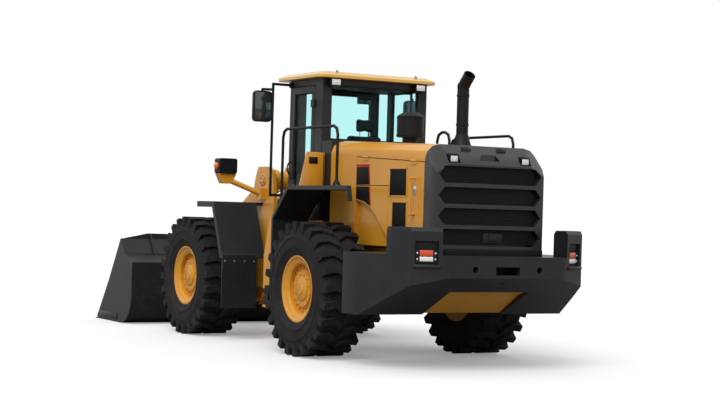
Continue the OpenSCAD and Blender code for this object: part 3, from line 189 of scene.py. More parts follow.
bare_steel = finish("bare_steel", "8c8d8f", "77787a", 0.35, grime=0.3, metallic=0.9, grain=0.1)
red_trim = finish("red_stripe", "cc1f22", "bf1a1e", 0.5, grime=0.03, gloss=0.2)
black_panel = finish("black_panel", "0c0c0e", "111113", 0.5, grime=0.02, grain=0.04, gloss=0.12)
rubber_seal = finish("rubber_seal", "111112", "161618", 0.75, grime=0.03, grain=0.2,
                     grain_scale=700.0, gloss=0.2)
cloth = finish("seat_cloth", "1b1b1e", "222226", 0.9, grime=0.0, grain=0.6, grain_scale=900.0, gloss=0.2)
mirror_face = finish("mirror_face", "2b2f31", "34383a", 0.05, grime=0.0, coat=0.8)

# %% [markdown]
# Glass lets light through and takes its gloss from the shader. A lamp lens is moulded with fine ribs, and
# the tail lamp is one moulding in two colours, amber above white, so its colour follows the height.

# %% Glass and lenses
TAIL_SPLIT = 1250 * MM


def glass_finish(name, colour, rough):
    """Clear tinted glass with a faint film that varies its gloss."""
    material, tree, shader, coords = new_finish(name)
    film = ramp(tree, noise(tree, coords, 14.0), 0.4, 0.8, rough, rough + 0.05)
    tree.links.new(film, shader.inputs["Roughness"])
    shader.inputs["Base Color"].default_value = linear(colour)
    shader.inputs["Transmission Weight"].default_value = 1.0
    shader.inputs["IOR"].default_value = 1.1
    return material


def lens_finish(name, colour, ribs, low_colour=None):
    """A moulded lamp lens with fine ribs. Below the tail lamp's split it may take a second colour."""
    material, tree, shader, coords = new_finish(name)
    wave = tree.nodes.new("ShaderNodeTexWave")
    wave.bands_direction = "Y"
    wave.inputs["Scale"].default_value = ribs
    tree.links.new(coords, wave.inputs["Vector"])
    bumped(tree, shader, wave.outputs["Fac"], 0.4, 0.002)
    tone = ramp(tree, noise(tree, coords, 40.0), 0.3, 0.7)
    darker = [v * 0.8 for v in linear(colour)[:3]] + [1.0]
    shown = blend_colours(tree, tone, linear(colour), darker)
    if low_colour:
        upper = ramp(tree, height_of(tree, coords), TAIL_SPLIT - MM, TAIL_SPLIT + MM)
        shown = blend_colours(tree, upper, linear(low_colour), shown)
    tree.links.new(shown, shader.inputs["Base Color"])
    shader.inputs["Roughness"].default_value = 0.15
    shader.inputs["Coat Weight"].default_value = 0.6
    return material


window = glass_finish("window_glass", "dcfafa", 0.01)
amber_lens = lens_finish("amber_lens", "f07a12", 40.0)
tail_lens = lens_finish("tail_lens", "e0511a", 40.0, "f0efe8")
clear_lens = lens_finish("clear_lens", "f4f4f0", 30.0)

# %% [markdown]
# Every solid of the frame names a slot, such as paint or glass, so one table finishes most of the machine.
# A second table holds the few solids that look different from their slot.

# %% Give every solid its finish
by_slot = {"paint": yellow, "dark": grey, "iron": casting, "black": black, "tread": tread,
           "chrome": rod_steel, "glass": window, "lens": amber_lens, "cushion": cloth}
# The cab roof takes the paler yellow, whose extra lightness is a painted highlight from the overhead light.
by_node = {"bucket": worn_steel, "cutting_edge": worn_steel, "cab_roof": roof_yellow_painted_highlight,
           "grille_housing": satin}
for row in frame["record"]["subparts"]:
    solid = nodes[row["node"]]
    solid.data.materials.clear()
    solid.data.materials.append(by_node.get(row["node"], by_slot[row["material_slot"]]))
print("finishes:", len(bpy.data.materials))

# %% [markdown]
# Pressed plates and castings have round edges, and the light along an edge is what makes metal look thick.
# The solids' edges are sharp, so live modifiers soften them: the loose triangles are welded, flat faces are
# merged, each sharp edge is bevelled, and the large faces then set the normals, so that they shade flat.
# The solid's own mesh is not touched.

# %% Soft edges on plates and castings
def soften(solid, width):
    """Round a piece's sharp edges with live modifiers and let its large faces shade flat."""
    weld = solid.modifiers.new("weld", "WELD")
    weld.merge_threshold = 0.2 * MM
    flat = solid.modifiers.new("flat", "DECIMATE")
    flat.decimate_type = "DISSOLVE"
    flat.angle_limit = math.radians(1)
    edge = solid.modifiers.new("edge", "BEVEL")
    edge.width = width
    edge.segments = 2
    edge.limit_method = "ANGLE"
    edge.angle_limit = math.radians(28)
    normals = solid.modifiers.new("normals", "WEIGHTED_NORMAL")
    normals.mode = "FACE_AREA"
    normals.weight = 100


softness = {"grille_housing": 8 * MM, "cab_shell": 6 * MM, "cab_door": 5 * MM,
            "hood_shell": 6 * MM, "hood_door_left": 5 * MM, "hood_door_right": 5 * MM,
            "front_fenders": 5 * MM, "cab_roof": 8 * MM, "work_lamps": 4 * MM,
            "ladders": 2 * MM, "tower_plates": 4 * MM}
for name, width in softness.items():
    soften(nodes[name], width)
print("softened solids:", len(softness))

# %% [markdown]
# Small helpers stand for the moves that are made by hand for every piece: clear the selection, add a
# primitive at its size and place, shape it, put its place into its mesh, and let it ride on a body.

# %% Modelling helpers
def clear_selection():
    if bpy.context.mode != "OBJECT":
        bpy.ops.object.mode_set(mode="OBJECT")
    bpy.ops.object.select_all(action="DESELECT")


def pick(obj):
    """Make one object the only selected and active one."""
    clear_selection()
    obj.select_set(True)
    bpy.context.view_layer.objects.active = obj


def apply_place(obj):
    pick(obj)
    bpy.ops.object.transform_apply(location=True, rotation=True, scale=True)
    return obj


def settle(obj, name, material, body):
    """Name a finished piece, put its place into its mesh, and give it a finish and a body."""
    apply_place(obj)
    obj.name = name
    obj.data.name = name
    obj.data.materials.clear()
    obj.data.materials.append(material)
    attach(obj, body)
    return obj


def bevelled(obj, width):
    """Round a piece's sharp edges with an applied bevel."""
    pick(obj)
    modifier = obj.modifiers.new("edge", "BEVEL")
    modifier.width = width
    modifier.segments = 2
    modifier.limit_method = "ANGLE"
    bpy.ops.object.modifier_apply(modifier=modifier.name)
    bpy.ops.object.shade_smooth_by_angle(angle=math.radians(35))
    return obj


def add_box(low, high, bevel):
    """A box between two corners with rounded edges."""
    clear_selection()
    low, high = Vector(map(min, low, high)), Vector(map(max, low, high))
    bpy.ops.mesh.primitive_cube_add(size=1, location=(low + high) / 2)
    obj = bpy.context.object
    obj.scale = high - low
    return bevelled(apply_place(obj), bevel)


def outward_normals(obj):
    """Merge doubles and turn every face outwards."""
    pick(obj)
    bpy.ops.object.mode_set(mode="EDIT")
    bpy.ops.mesh.select_all(action="SELECT")
    bpy.ops.mesh.remove_doubles(threshold=0.02 * MM)
    bpy.ops.mesh.normals_make_consistent(inside=False)
    bpy.ops.object.mode_set(mode="OBJECT")
    return obj


def turn_to(axis):
    return Vector((0, 0, 1)).rotation_difference(Vector(axis))


def add_turned(centre, axis, profile, segments=48):
    """Turn a profile of (radius, distance along the axis) pairs, ring by ring, from a circle."""
    clear_selection()
    radius, start = profile[0]
    bpy.ops.mesh.primitive_circle_add(vertices=segments, radius=radius, fill_type="NGON",
                                      location=(0, 0, start))
    obj = apply_place(bpy.context.object)
    bpy.ops.object.mode_set(mode="EDIT")
    bpy.ops.mesh.select_all(action="SELECT")
    for next_radius, distance in profile[1:]:
        bpy.ops.mesh.extrude_region_move(TRANSFORM_OT_translate={"value": (0, 0, distance - start)})
        grow = next_radius / radius
        bpy.ops.transform.resize(value=(grow, grow, 1))
        radius, start = next_radius, distance
    obj = outward_normals(obj)
    obj.rotation_euler = turn_to(axis).to_euler()
    obj.location = centre
    apply_place(obj)
    bpy.ops.object.shade_smooth_by_angle(angle=math.radians(35))
    return obj


def add_ring(centre, axis, section, steps=96):
    """Spin a closed section of (radius, distance along the axis) points round an axis."""
    clear_selection()
    bpy.ops.mesh.primitive_circle_add(vertices=len(section), radius=1)
    obj = bpy.context.object
    for vertex, (radius, distance) in zip(obj.data.vertices, section):
        vertex.co = (radius, 0, distance)
    bpy.ops.object.mode_set(mode="EDIT")
    bpy.ops.mesh.select_all(action="SELECT")
    bpy.ops.mesh.spin(steps=steps, angle=2 * math.pi, center=(0, 0, 0), axis=(0, 0, 1))
    obj = outward_normals(obj)
    obj.rotation_euler = turn_to(axis).to_euler()
    obj.location = centre
    apply_place(obj)
    bpy.ops.object.shade_smooth_by_angle(angle=math.radians(35))
    return obj


def add_plate(corners, thickness, bevel):
    """A flat plate with these corners, given its thickness along a vector."""
    clear_selection()
    bpy.ops.mesh.primitive_circle_add(vertices=len(corners), radius=1, fill_type="NGON")
    obj = bpy.context.object
    for vertex, corner in zip(obj.data.vertices, corners):
        vertex.co = corner
    bpy.ops.object.mode_set(mode="EDIT")
    bpy.ops.mesh.select_all(action="SELECT")
    bpy.ops.mesh.extrude_region_move(TRANSFORM_OT_translate={"value": thickness})
    outward_normals(obj)
    return bevelled(obj, bevel) if bevel else obj


def add_pipe(points, radius):
    """A round tube through points: a curve with a round section, made a mesh."""
    clear_selection()
    bpy.ops.curve.primitive_bezier_curve_add(radius=1, location=(0, 0, 0))
    obj = bpy.context.object
    spline = obj.data.splines[0]
    spline.bezier_points.add(len(points) - 2)
    for knot, point in zip(spline.bezier_points, points):
        knot.co = point
        knot.handle_left_type = knot.handle_right_type = "AUTO"
    obj.data.bevel_depth = radius
    obj.data.bevel_resolution = 3
    obj.data.use_fill_caps = True
    bpy.ops.object.convert(target="MESH")
    return outward_normals(bpy.context.object)


def copy_of(obj, matrix):
    twin = obj.copy()
    twin.data = obj.data.copy()
    bpy.context.collection.objects.link(twin)
    twin.data.transform(matrix)
    return twin


def joined(objects):
    """Join like pieces of one body into one mesh."""
    clear_selection()
    for obj in objects:
        obj.select_set(True)
    bpy.context.view_layer.objects.active = objects[0]
    bpy.ops.object.join()
    return apply_place(bpy.context.object)


# %% [markdown]
# Hexagon bolts hold plates, caps and flaps. One head on its washer is modelled once, then copied to each
# place and joined into one piece per group.

# %% Bolts
def hex_bolt(radius):
    """One hexagon head on a washer, along Z at the origin."""
    clear_selection()
    height = radius * 1.1
    middle = (0, 0, height * 0.6)
    bpy.ops.mesh.primitive_cylinder_add(vertices=6, radius=radius, depth=height, location=middle)
    head = apply_place(bevelled(bpy.context.object, radius * 0.14))
    washer = add_turned((0, 0, 0), (0, 0, 1), [
        (radius * 1.45, 0), (radius * 1.45, height * 0.16), (radius * 1.3, height * 0.24)], 20)
    return joined([head, washer])


def bolt_group(name, places, outward, body, radius, material=bare_steel):
    """A bolt at each place, all facing one way, joined into one piece."""
    bolt = hex_bolt(radius)
    turn = turn_to(outward).to_matrix().to_4x4()
    heads = [copy_of(bolt, Matrix.Translation(place) @ turn) for place in places]
    bpy.data.objects.remove(bolt)
    return settle(joined(heads), name, material, body)


def circle_places(centre, axis, radius, count):
    """Places spread evenly round an axis."""
    turn = turn_to(axis)
    angles = [2 * math.pi * (i + 0.5) / count for i in range(count)]
    return [Vector(centre) + turn @ Vector((radius * math.cos(a), radius * math.sin(a), 0)) for a in angles]


# %% [markdown]
# From here on pieces are placed in millimetres. A block is given by its ranges along X, Y and Z, so that
# one named value holds the whole place and size of a piece, and a left and a right piece share it.

# %% Blocks, sides and profiles in millimetres
def corners_of(ranges):
    """The two opposite corners of ranges along X, Y and Z."""
    return [at(*corner) for corner in zip(*ranges)]


def block(ranges, edge):
    """A box with rounded edges from its ranges along X, Y and Z."""
    low, high = corners_of(ranges)
    return add_box(low, high, edge * MM)


def on_side(ranges, side):
    """The same ranges on the left (1) or the right (-1) of the machine."""
    x, (near, far), z = ranges
    return x, (side * near, side * far), z


def moved(ranges, y):
    """The same ranges, moved across the machine."""
    x, (y0, y1), z = ranges
    return x, (y0 + y, y1 + y), z


def in_metres(profile):
    """A profile or section of (radius, distance) pairs written in millimetres."""
    return [(radius * MM, distance * MM) for radius, distance in profile]


def pipe_through(points, radius):
    """A round tube through places in millimetres."""
    return add_pipe([at(*point) for point in points], radius * MM)


# %% [markdown]
# Wheels. The disc inside the rim is held by a ring of nuts, the hub has a turned cap with its own bolts,
# and the tyre's side wall carries moulded ribs. A section spun round the axle gives a true ring, and the
# bolts are copies of one head. Each piece rides on its wheel, so that it turns with it.

# %% Wheel fittings
DISC_OUT, HUB_OUT, WALL_OUT = 145 * MM, 185 * MM, 295 * MM
NUT_CIRCLE, NUT_COUNT, NUT_RADIUS = 257 * MM, 20, 16 * MM
HUB_BOLT_CIRCLE, HUB_BOLT_COUNT, HUB_BOLT_RADIUS = 176 * MM, 12, 9 * MM
HUB_CAP, CAP_SUNK = ((140, 0), (140, 12), (130, 20), (70, 24), (64, 32), (20, 34)), 2 * MM
RIB_RADII = (486, 598)
RIB_FOOT, RIB_CREST, RIB_SUNK, RIB_HEIGHT = 9, 5, 4, 6


def wheel_fittings(wheel, side):
    low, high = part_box("rim_" + wheel)
    centre = Vector([(a + b) / 2 for a, b in zip(low, high)])
    out = Vector((0, side, 0))
    body = "wheel_" + wheel
    nuts = circle_places(centre + out * DISC_OUT, out, NUT_CIRCLE, NUT_COUNT)
    bolt_group("wheel_nuts_" + wheel, nuts, out, body, NUT_RADIUS, yellow)
    cap = add_turned(centre + out * (HUB_OUT - CAP_SUNK), out, in_metres(HUB_CAP))
    settle(cap, "hub_cap_" + wheel, yellow, body)
    hub_bolts = circle_places(centre + out * HUB_OUT, out, HUB_BOLT_CIRCLE, HUB_BOLT_COUNT)
    bolt_group("hub_bolts_" + wheel, hub_bolts, out, body, HUB_BOLT_RADIUS, yellow)
    ribs = []
    for radius in RIB_RADII:
        section = in_metres([(radius - RIB_FOOT, -RIB_SUNK), (radius - RIB_CREST, RIB_HEIGHT),
                             (radius + RIB_CREST, RIB_HEIGHT), (radius + RIB_FOOT, -RIB_SUNK)])
        for face in (out, -out):
            ribs.append(add_ring(centre + face * WALL_OUT, face, section))
    settle(joined(ribs), "sidewall_ribs_" + wheel, tread, body)


for axle in ("front", "rear"):
    for side_name, side in SIDES:
        wheel_fittings(axle + "_" + side_name, side)
print("wheel fittings made for 4 wheels")

# %% [markdown]
# The cooling grille. Behind the four broad slots hangs a guard of fine horizontal bars. One bar is
# modelled, and an array modifier repeats it up the grille, which keeps the pitch even. A latch plate with a
# paddle sits in the lowest slot.

# %% Grille guard and latch
def repeated(obj, count, step):
    """Repeat a piece along a step with an applied array."""
    pick(obj)
    array = obj.modifiers.new("row", "ARRAY")
    array.use_relative_offset = False
    array.use_constant_offset = True
    array.constant_offset_displace = step
    array.count = count
    bpy.ops.object.modifier_apply(modifier=array.name)
    return obj


GUARD_X, GUARD_HALF, GUARD_LOW = -1906, 668, 1386
GUARD_PITCH, GUARD_COUNT = 16 * MM, 53
GUARD_BAR = ((GUARD_X - 9, GUARD_X - 1), (-GUARD_HALF, GUARD_HALF), (GUARD_LOW, GUARD_LOW + 7))
LATCH_PLATE = ((GUARD_X - 16, GUARD_X - 8), (-190, 60), (1398, 1505))
LATCH_PADDLE = ((GUARD_X - 24, GUARD_X - 14), (-115, -15), (1415, 1490))
bars = repeated(block(GUARD_BAR, edge=2), GUARD_COUNT, Vector((0, 0, GUARD_PITCH)))
settle(bars, "grille_guard", black, "rear_frame")
latch = joined([block(LATCH_PLATE, edge=6), block(LATCH_PADDLE, edge=5)])
settle(latch, "grille_latch", casting, "rear_frame")
print("grille guard of", GUARD_COUNT, "bars and latch made")

# %% [markdown]
# Two hinges on the hood hold the grille housing, each a strap with a turned knuckle. Under it a rubber sill
# closes the gap to the counterweight: one strip stands in front and one lies over the chassis.

# %% Grille hinges and sill
HINGE_PLACES = (-260, 200)
HINGE_STRAP = ((-1850, -1730), (0, 110), (2398, 2432))
KNUCKLE_X, KNUCKLE_INSET, KNUCKLE_Z = -1790, 10, 2438
KNUCKLE = ((12, 0), (12, 90), (9, 92))
SILL_HALF = 665
SILL_FRONT = ((-2034, -2004), (-SILL_HALF, SILL_HALF), (1262, 1332))
SILL_TOP = ((-2030, -1969), (-SILL_HALF, SILL_HALF), (1291, 1317))
hinges = []
for y in HINGE_PLACES:
    hinges.append(block(moved(HINGE_STRAP, y), edge=5))
    place = at(KNUCKLE_X, y + KNUCKLE_INSET, KNUCKLE_Z)
    hinges.append(add_turned(place, (0, 1, 0), in_metres(KNUCKLE), segments=24))
settle(joined(hinges), "grille_hinges", casting, "rear_frame")
sill = joined([block(SILL_FRONT, edge=6), block(SILL_TOP, edge=6)])
settle(sill, "grille_sill", rubber_seal, "rear_frame")
print("grille hinges and sill made")

# %% [markdown]
# Lamps. Each lamp is a dark housing from the frame with a ribbed lens that stands a little behind the
# housing's rim. A rounded block is enough for the lens, because its ribs are in the finish.

# %% Lamp lenses
LAMP_LENSES = (("roof_lens_", ((571, 580), (538, 662), (3234, 3306)), "rear_frame"),
               ("grille_lens_", ((-1936, -1926), (422, 514), (2275, 2340)), "rear_frame"),
               ("head_lens_", ((2712, 2722), (1008, 1192), (2183, 2317)), "front_frame"))
for side_name, side in SIDES:
    for name, ranges, body in LAMP_LENSES:
        settle(block(on_side(ranges, side), edge=6), name + side_name, clear_lens, body)
print("lamp lenses made:", 2 * len(LAMP_LENSES))

# %% [markdown]
# Two castings differ a little from their solids, so a copy of each stands in its place. The copy is merged
# first, then closed cutters are subtracted from it with boolean modifiers, as a hollow is cut by hand. In
# the rear fender the platform ends on a slant, which shows the wheel arch.

# %% Cut copies
def cut_copy(node, piece_name, cutters, width, material):
    """A copy of a solid, cut by closed shapes and softened, that stands for the solid."""
    piece = bpy.data.objects.new(piece_name, nodes[node].data.copy())
    bpy.context.collection.objects.link(piece)
    outward_normals(piece)
    for cutter in cutters:
        pick(piece)
        cut = piece.modifiers.new("cut", "BOOLEAN")
        cut.operation = "DIFFERENCE"
        cut.solver = "EXACT"
        cut.object = cutter
        bpy.ops.object.modifier_apply(modifier=cut.name)
        bpy.data.objects.remove(cutter)
    settle(piece, piece_name, material, "rear_frame")
    soften(piece, width)
    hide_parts(node)
    print(piece_name, "has", len(piece.data.polygons), "faces")


def prism(plan, heights, side):
    """A closed upright block over a plan outline of [x, y] points."""
    low, high = heights
    corners = [at(x, side * y, low) for x, y in plan]
    return add_plate(corners, Vector((0, 0, (high - low) * MM)), bevel=0)


PLATFORM_END = [(-1100, 1190), (-951, 1190), (-20, 755), (-20, 730), (-1100, 730)]
PLATFORM_HEIGHTS = (1780, 2030)
platform_cutters = [prism(PLATFORM_END, PLATFORM_HEIGHTS, side) for _, side in SIDES]
cut_copy("rear_fenders", "fender_castings", platform_cutters, 6 * MM, grey)

# %% [markdown]
# The counterweight's lamp towers have swept faces. Places on such a face are given along it and out of it,
# so that the hollow and all that sits in it are square to the face. First all that stands out of the face
# is taken off, then the hollow is cut.

# %% Lamp hollows in the counterweight
FACE_MID, FACE_HALF, FACE_HEIGHTS = (-2227, 961), 168, (1100, 1430)
FACE_ALONG = (0.4233, 0.9061)
FACE_OUT = (-0.9061, 0.4233)
FACE_SKIM = (0.3, 160)
HOLLOW_HALF, HOLLOW_DEPTHS, HOLLOW_HEIGHTS = 126, (-45, 40), (1170, 1414)


def face_plan(along, out):
    """A place in plan on the left lamp face: along it and out of it, in millimetres."""
    return [m + a * along + o * out for m, a, o in zip(FACE_MID, FACE_ALONG, FACE_OUT)]


def on_face(side, along, out, z):
    x, y = face_plan(along, out)
    return at(x, side * y, z)


def face_block(half, depths):
    """The plan of a block on the lamp face, from its half length and its two depths."""
    inner, outer = depths
    return [face_plan(-half, inner), face_plan(half, inner), face_plan(half, outer), face_plan(-half, outer)]


cutters = []
for _, side in SIDES:
    cutters.append(prism(face_block(FACE_HALF, FACE_SKIM), FACE_HEIGHTS, side))
    cutters.append(prism(face_block(HOLLOW_HALF, HOLLOW_DEPTHS), HOLLOW_HEIGHTS, side))
cut_copy("counterweight", "counterweight_casting", cutters, 12 * MM, grey)

# %% [markdown]
# A tail lamp is a black bezel of bars on a back plate, with an amber and a white lens between the bars,
# four bright screws, and a cast lip below the hollow. Each group is a row of plates: ends along the face,
# heights, then the depth and thickness that the group shares.

# %% Tail lamps
TAIL_LENSES = (((-72, 72, 1252, 1318), (-72, 72, 1198, 1248)), -38, 20)
TAIL_BACK = (((-125, 125, 1171, 1413),), -44.5, 6)
TAIL_BARS = (((-124, 124, 1314, 1412), (-124, 124, 1172, 1202), (-124, -68, 1198, 1318),
              (68, 124, 1198, 1318), (-70, 70, 1246, 1254)), -39, 12)
LAMP_LIP = (((-146, 146, 1128, 1164),), -4, 26)
SCREW_ALONG, SCREW_DEPTH, SCREW_HEIGHTS, SCREW_RADIUS = (-97, 97), -27.5, (1222, 1284), 7 * MM


def face_plates(side, plates, edge):
    """A group of plates on the lamp face, joined."""
    rows, depth, thickness = plates
    out = Vector((FACE_OUT[0], side * FACE_OUT[1], 0)) * thickness * MM
    pieces = []
    for a0, a1, z0, z1 in rows:
        corners = [on_face(side, a, depth, z) for a, z in ((a0, z0), (a1, z0), (a1, z1), (a0, z1))]
        pieces.append(add_plate(corners, out, edge * MM))
    return joined(pieces)


lenses = []
for side_name, side in SIDES:
    face_out = (FACE_OUT[0], side * FACE_OUT[1], 0)
    lenses.append(face_plates(side, TAIL_LENSES, edge=6))
    bezel = joined([face_plates(side, TAIL_BACK, edge=1), face_plates(side, TAIL_BARS, edge=3)])
    settle(bezel, "tail_bezel_" + side_name, black, "rear_frame")
    screws = [on_face(side, a, SCREW_DEPTH, z) for a in SCREW_ALONG for z in SCREW_HEIGHTS]
    bolt_group("tail_bolts_" + side_name, screws, face_out, "rear_frame", SCREW_RADIUS, clear_lens)
    lip = face_plates(side, LAMP_LIP, edge=10)
    settle(lip, "lamp_lip_" + side_name, grey, "rear_frame")
tail_lamp = settle(joined(lenses), "tail_lenses", tail_lens, "rear_frame")
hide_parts("tail_lamps")
print("tail lamps made")

# %% [markdown]
# The hood's side carries a plain black panel with a red edge, made of thin plates from their outlines. It
# is split where the hood door ends, because its upper part lifts with the door and its lower part stays on
# the fixed wheel arch.

# %% Side panel with its red edge
DOOR_Y = 735
PLATE_SUNK, PLATE_THICKNESS, PLATE_EDGE = 1, 3.5 * MM, 0.8 * MM
PANEL_FRONT, PANEL_TOP, SPLIT_HIGH, SPLIT_LOW = -248, 2222, 2016, 1996
RED_LOW, RED_HIGH = PANEL_TOP + 4, PANEL_TOP + 30
PANEL_UPPER = ((PANEL_FRONT, SPLIT_HIGH), (-548, SPLIT_HIGH), (-528, PANEL_TOP), (PANEL_FRONT, PANEL_TOP))
PANEL_LOWER = ((PANEL_FRONT, 1852), (-430, 1828), (-575, 1776), (-550, SPLIT_LOW), (PANEL_FRONT, SPLIT_LOW))
RED_TOP = ((PANEL_FRONT, RED_LOW), (-550, RED_LOW), (-553, RED_HIGH), (PANEL_FRONT, RED_HIGH))
RED_BACK = ((-552, SPLIT_HIGH), (-574, SPLIT_HIGH), (-553, RED_LOW), (-532, RED_LOW))
RED_BELOW = ((-578, 1774), (-601, 1764), (-576, SPLIT_LOW), (-554, SPLIT_LOW))


def side_plate(outline, side):
    """A thin plate on the hood's side from its outline of [x, z] points."""
    corners = [at(x, side * (DOOR_Y - PLATE_SUNK), z) for x, z in outline]
    return add_plate(corners, Vector((0, side * PLATE_THICKNESS, 0)), PLATE_EDGE)


for side_name, side in SIDES:
    door = "hood_door_" + side_name
    settle(side_plate(PANEL_UPPER, side), "side_panel_" + side_name, black_panel, door)
    settle(side_plate(PANEL_LOWER, side), "arch_panel_" + side_name, black_panel, "rear_frame")
    stripe = joined([side_plate(RED_TOP, side), side_plate(RED_BACK, side)])
    settle(stripe, "red_edge_" + side_name, red_trim, door)
    settle(side_plate(RED_BELOW, side), "red_edge_low_" + side_name, red_trim, "rear_frame")
print("side panels made")

# %% [markdown]
# The louvre windows of the hood door sit in pressed frames. A frame is four bars round the opening, joined
# and rounded, round a black screen of fine upright wires.

# %% Louvre frames and screens
def frame_bars(low, high, width, depth, across):
    """Four bars round an opening between two corners. across is the index of the axis through it."""
    u, v = [i for i in range(3) if i != across]
    pieces = []
    for axis, other in ((u, v), (v, u)):
        for end in (0, 1):
            a, b = Vector(low), Vector(high)
            edge = low[axis] if end == 0 else high[axis]
            a[axis], b[axis] = (edge - width, edge) if end == 0 else (edge, edge + width)
            a[other], b[other] = low[other] - width, high[other] + width
            a[across], b[across] = low[across], low[across] + depth
            pieces.append(add_box(a, b, min(width, abs(depth)) * 0.35))
    return pieces


LOUVRES = ((-1390, -1030, 1895, 2190), (-1400, -1100, 1530, 1815))
FRAME_SUNK, FRAME_WIDTH, FRAME_DEPTH = 2, 16 * MM, 9 * MM
SCREEN_Y, SCREEN_INSET = (DOOR_Y + 0.5, DOOR_Y + 3.5), 1
WIRE_Y, WIRE_INSET, WIRE_X, WIRE_PITCH = (DOOR_Y + 3, DOOR_Y + 5.5), 2, (6, 10), 12
for side_name, side in SIDES:
    door = "hood_door_" + side_name
    bars = []
    for x0, x1, z0, z1 in LOUVRES:
        y = side * (DOOR_Y - FRAME_SUNK)
        bars += frame_bars(at(x0, y, z0), at(x1, y, z1), FRAME_WIDTH, side * FRAME_DEPTH, 1)
    settle(joined(bars), "louvre_frames_" + side_name, yellow, door)
    screens = []
    for x0, x1, z0, z1 in LOUVRES:
        sheet = ((x0 + SCREEN_INSET, x1 - SCREEN_INSET), SCREEN_Y, (z0 + SCREEN_INSET, z1 - SCREEN_INSET))
        screens.append(block(on_side(sheet, side), edge=1))
        wire = ((x0 + WIRE_X[0], x0 + WIRE_X[1]), WIRE_Y, (z0 + WIRE_INSET, z1 - WIRE_INSET))
        count = (x1 - x0) // WIRE_PITCH
        screens.append(repeated(block(on_side(wire, side), edge=1), count, Vector((WIRE_PITCH * MM, 0, 0))))
    settle(joined(screens), "louvre_screens_" + side_name, black, door)
print("louvre frames and screens made")

# %% [markdown]
# The catch of the hood door is a bright plate with a turned lock barrel, at the door's grip. It rides on
# the door.

# %% Hood door catches
CATCH_PLATE = ((-1600, -1552), (732, 742), (1900, 2000))
CATCH_X, CATCH_Y, CATCH_Z = -1576, 740, 1965
CATCH_BARREL = ((17, 0), (17, 8), (12, 11))
for side_name, side in SIDES:
    plate = block(on_side(CATCH_PLATE, side), edge=4)
    place = at(CATCH_X, side * CATCH_Y, CATCH_Z)
    barrel = add_turned(place, (0, side, 0), in_metres(CATCH_BARREL), segments=24)
    door = "hood_door_" + side_name
    settle(joined([plate, barrel]), "hood_catch_" + side_name, rod_steel, door)
print("hood door catches made")

# %% [markdown]
# The operator's seat is the one soft piece. Each pad starts as a slightly small rounded box, is remeshed to
# an even skin and blown up by a short cloth simulation, which crowns its faces and pulls its sides in. The
# sewn channels are pressed in afterwards, because the simulation would fill them again.

# %% Padded seat
SKIN, SWELL, SHRINK_SHARE = 11 * MM, 16 * MM, 0.8
PRESSURE, CLOTH_STEPS = 4.0, 20
PAD_EDGE, CHANNEL_WIDTH, CHANNEL_DEPTH = 38 * MM, 14 * MM, 9 * MM


def blow_up(obj):
    """Inflate a closed skin a little with cloth pressure, and keep every point within the swell."""
    start = [v.co.copy() for v in obj.data.vertices]
    pick(obj)
    cloth_modifier = obj.modifiers.new("cloth", "CLOTH")
    settings = cloth_modifier.settings
    settings.use_pressure = True
    settings.uniform_pressure_force = PRESSURE
    settings.effector_weights.gravity = 0.0
    cloth_modifier.collision_settings.use_collision = False
    for step in range(1, CLOTH_STEPS + 1):
        bpy.context.scene.frame_set(step)
    swollen = obj.evaluated_get(bpy.context.evaluated_depsgraph_get())
    moved_to = [v.co.copy() for v in swollen.data.vertices]
    obj.modifiers.remove(cloth_modifier)
    bpy.context.scene.frame_set(1)
    for vertex, old, new in zip(obj.data.vertices, start, moved_to):
        shift = new - old
        vertex.co = old + (shift.normalized() * SWELL if shift.length > SWELL else shift)


def spread(low, high, count):
    """Evenly spaced places between two ends, the ends left out."""
    return [low + (high - low) * (i + 1) / (count + 1) for i in range(count)]


def pad(name, ranges, channel_count, channel_axis, face):
    """A padded piece with sewn channels across the face that looks along `face`."""
    low, high = corners_of(ranges)
    face = Vector(face)
    margin = Vector((SWELL, SWELL, SWELL)) * SHRINK_SHARE
    obj = add_box(low + margin, high - margin, PAD_EDGE)
    pick(obj)
    obj.data.remesh_voxel_size = SKIN
    bpy.ops.object.voxel_remesh()
    blow_up(obj)
    channels = spread(low[channel_axis], high[channel_axis], channel_count)
    for vertex in obj.data.vertices:
        for place in channels:
            away = (vertex.co[channel_axis] - place) / CHANNEL_WIDTH
            facing = max(0.0, vertex.normal.dot(face))
            vertex.co -= face * CHANNEL_DEPTH * math.exp(-away * away) * facing
    pick(obj)
    smooth = obj.modifiers.new("smooth", "SUBSURF")
    smooth.levels = smooth.render_levels = 1
    bpy.ops.object.modifier_apply(modifier=smooth.name)
    bpy.ops.object.shade_smooth()
    settle(obj, name, cloth, "rear_frame")
    return obj


CUSHION = ((985, 1362), (-256, 256), (2068, 2188))
BACK_PAD = ((862, 988), (-256, 256), (2068, 2672))
HEAD_PAD = ((864, 952), (-138, 138), (2682, 2872))
seat_cushion = pad("seat_cushion", CUSHION, 2, 1, (0, 0, 1))
pad("seat_back", BACK_PAD, 4, 2, (1, 0, 0))
pad("head_rest", HEAD_PAD, 1, 2, (1, 0, 0))
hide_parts("seat")
print("seat pads made")

# %% [markdown]
# The seat stands on a rubber bellows over its spring. Its folds repeat, so a loop writes the profile, which
# is then turned. The head rest stands on two bright posts, and two levers stand on the right arm rest.

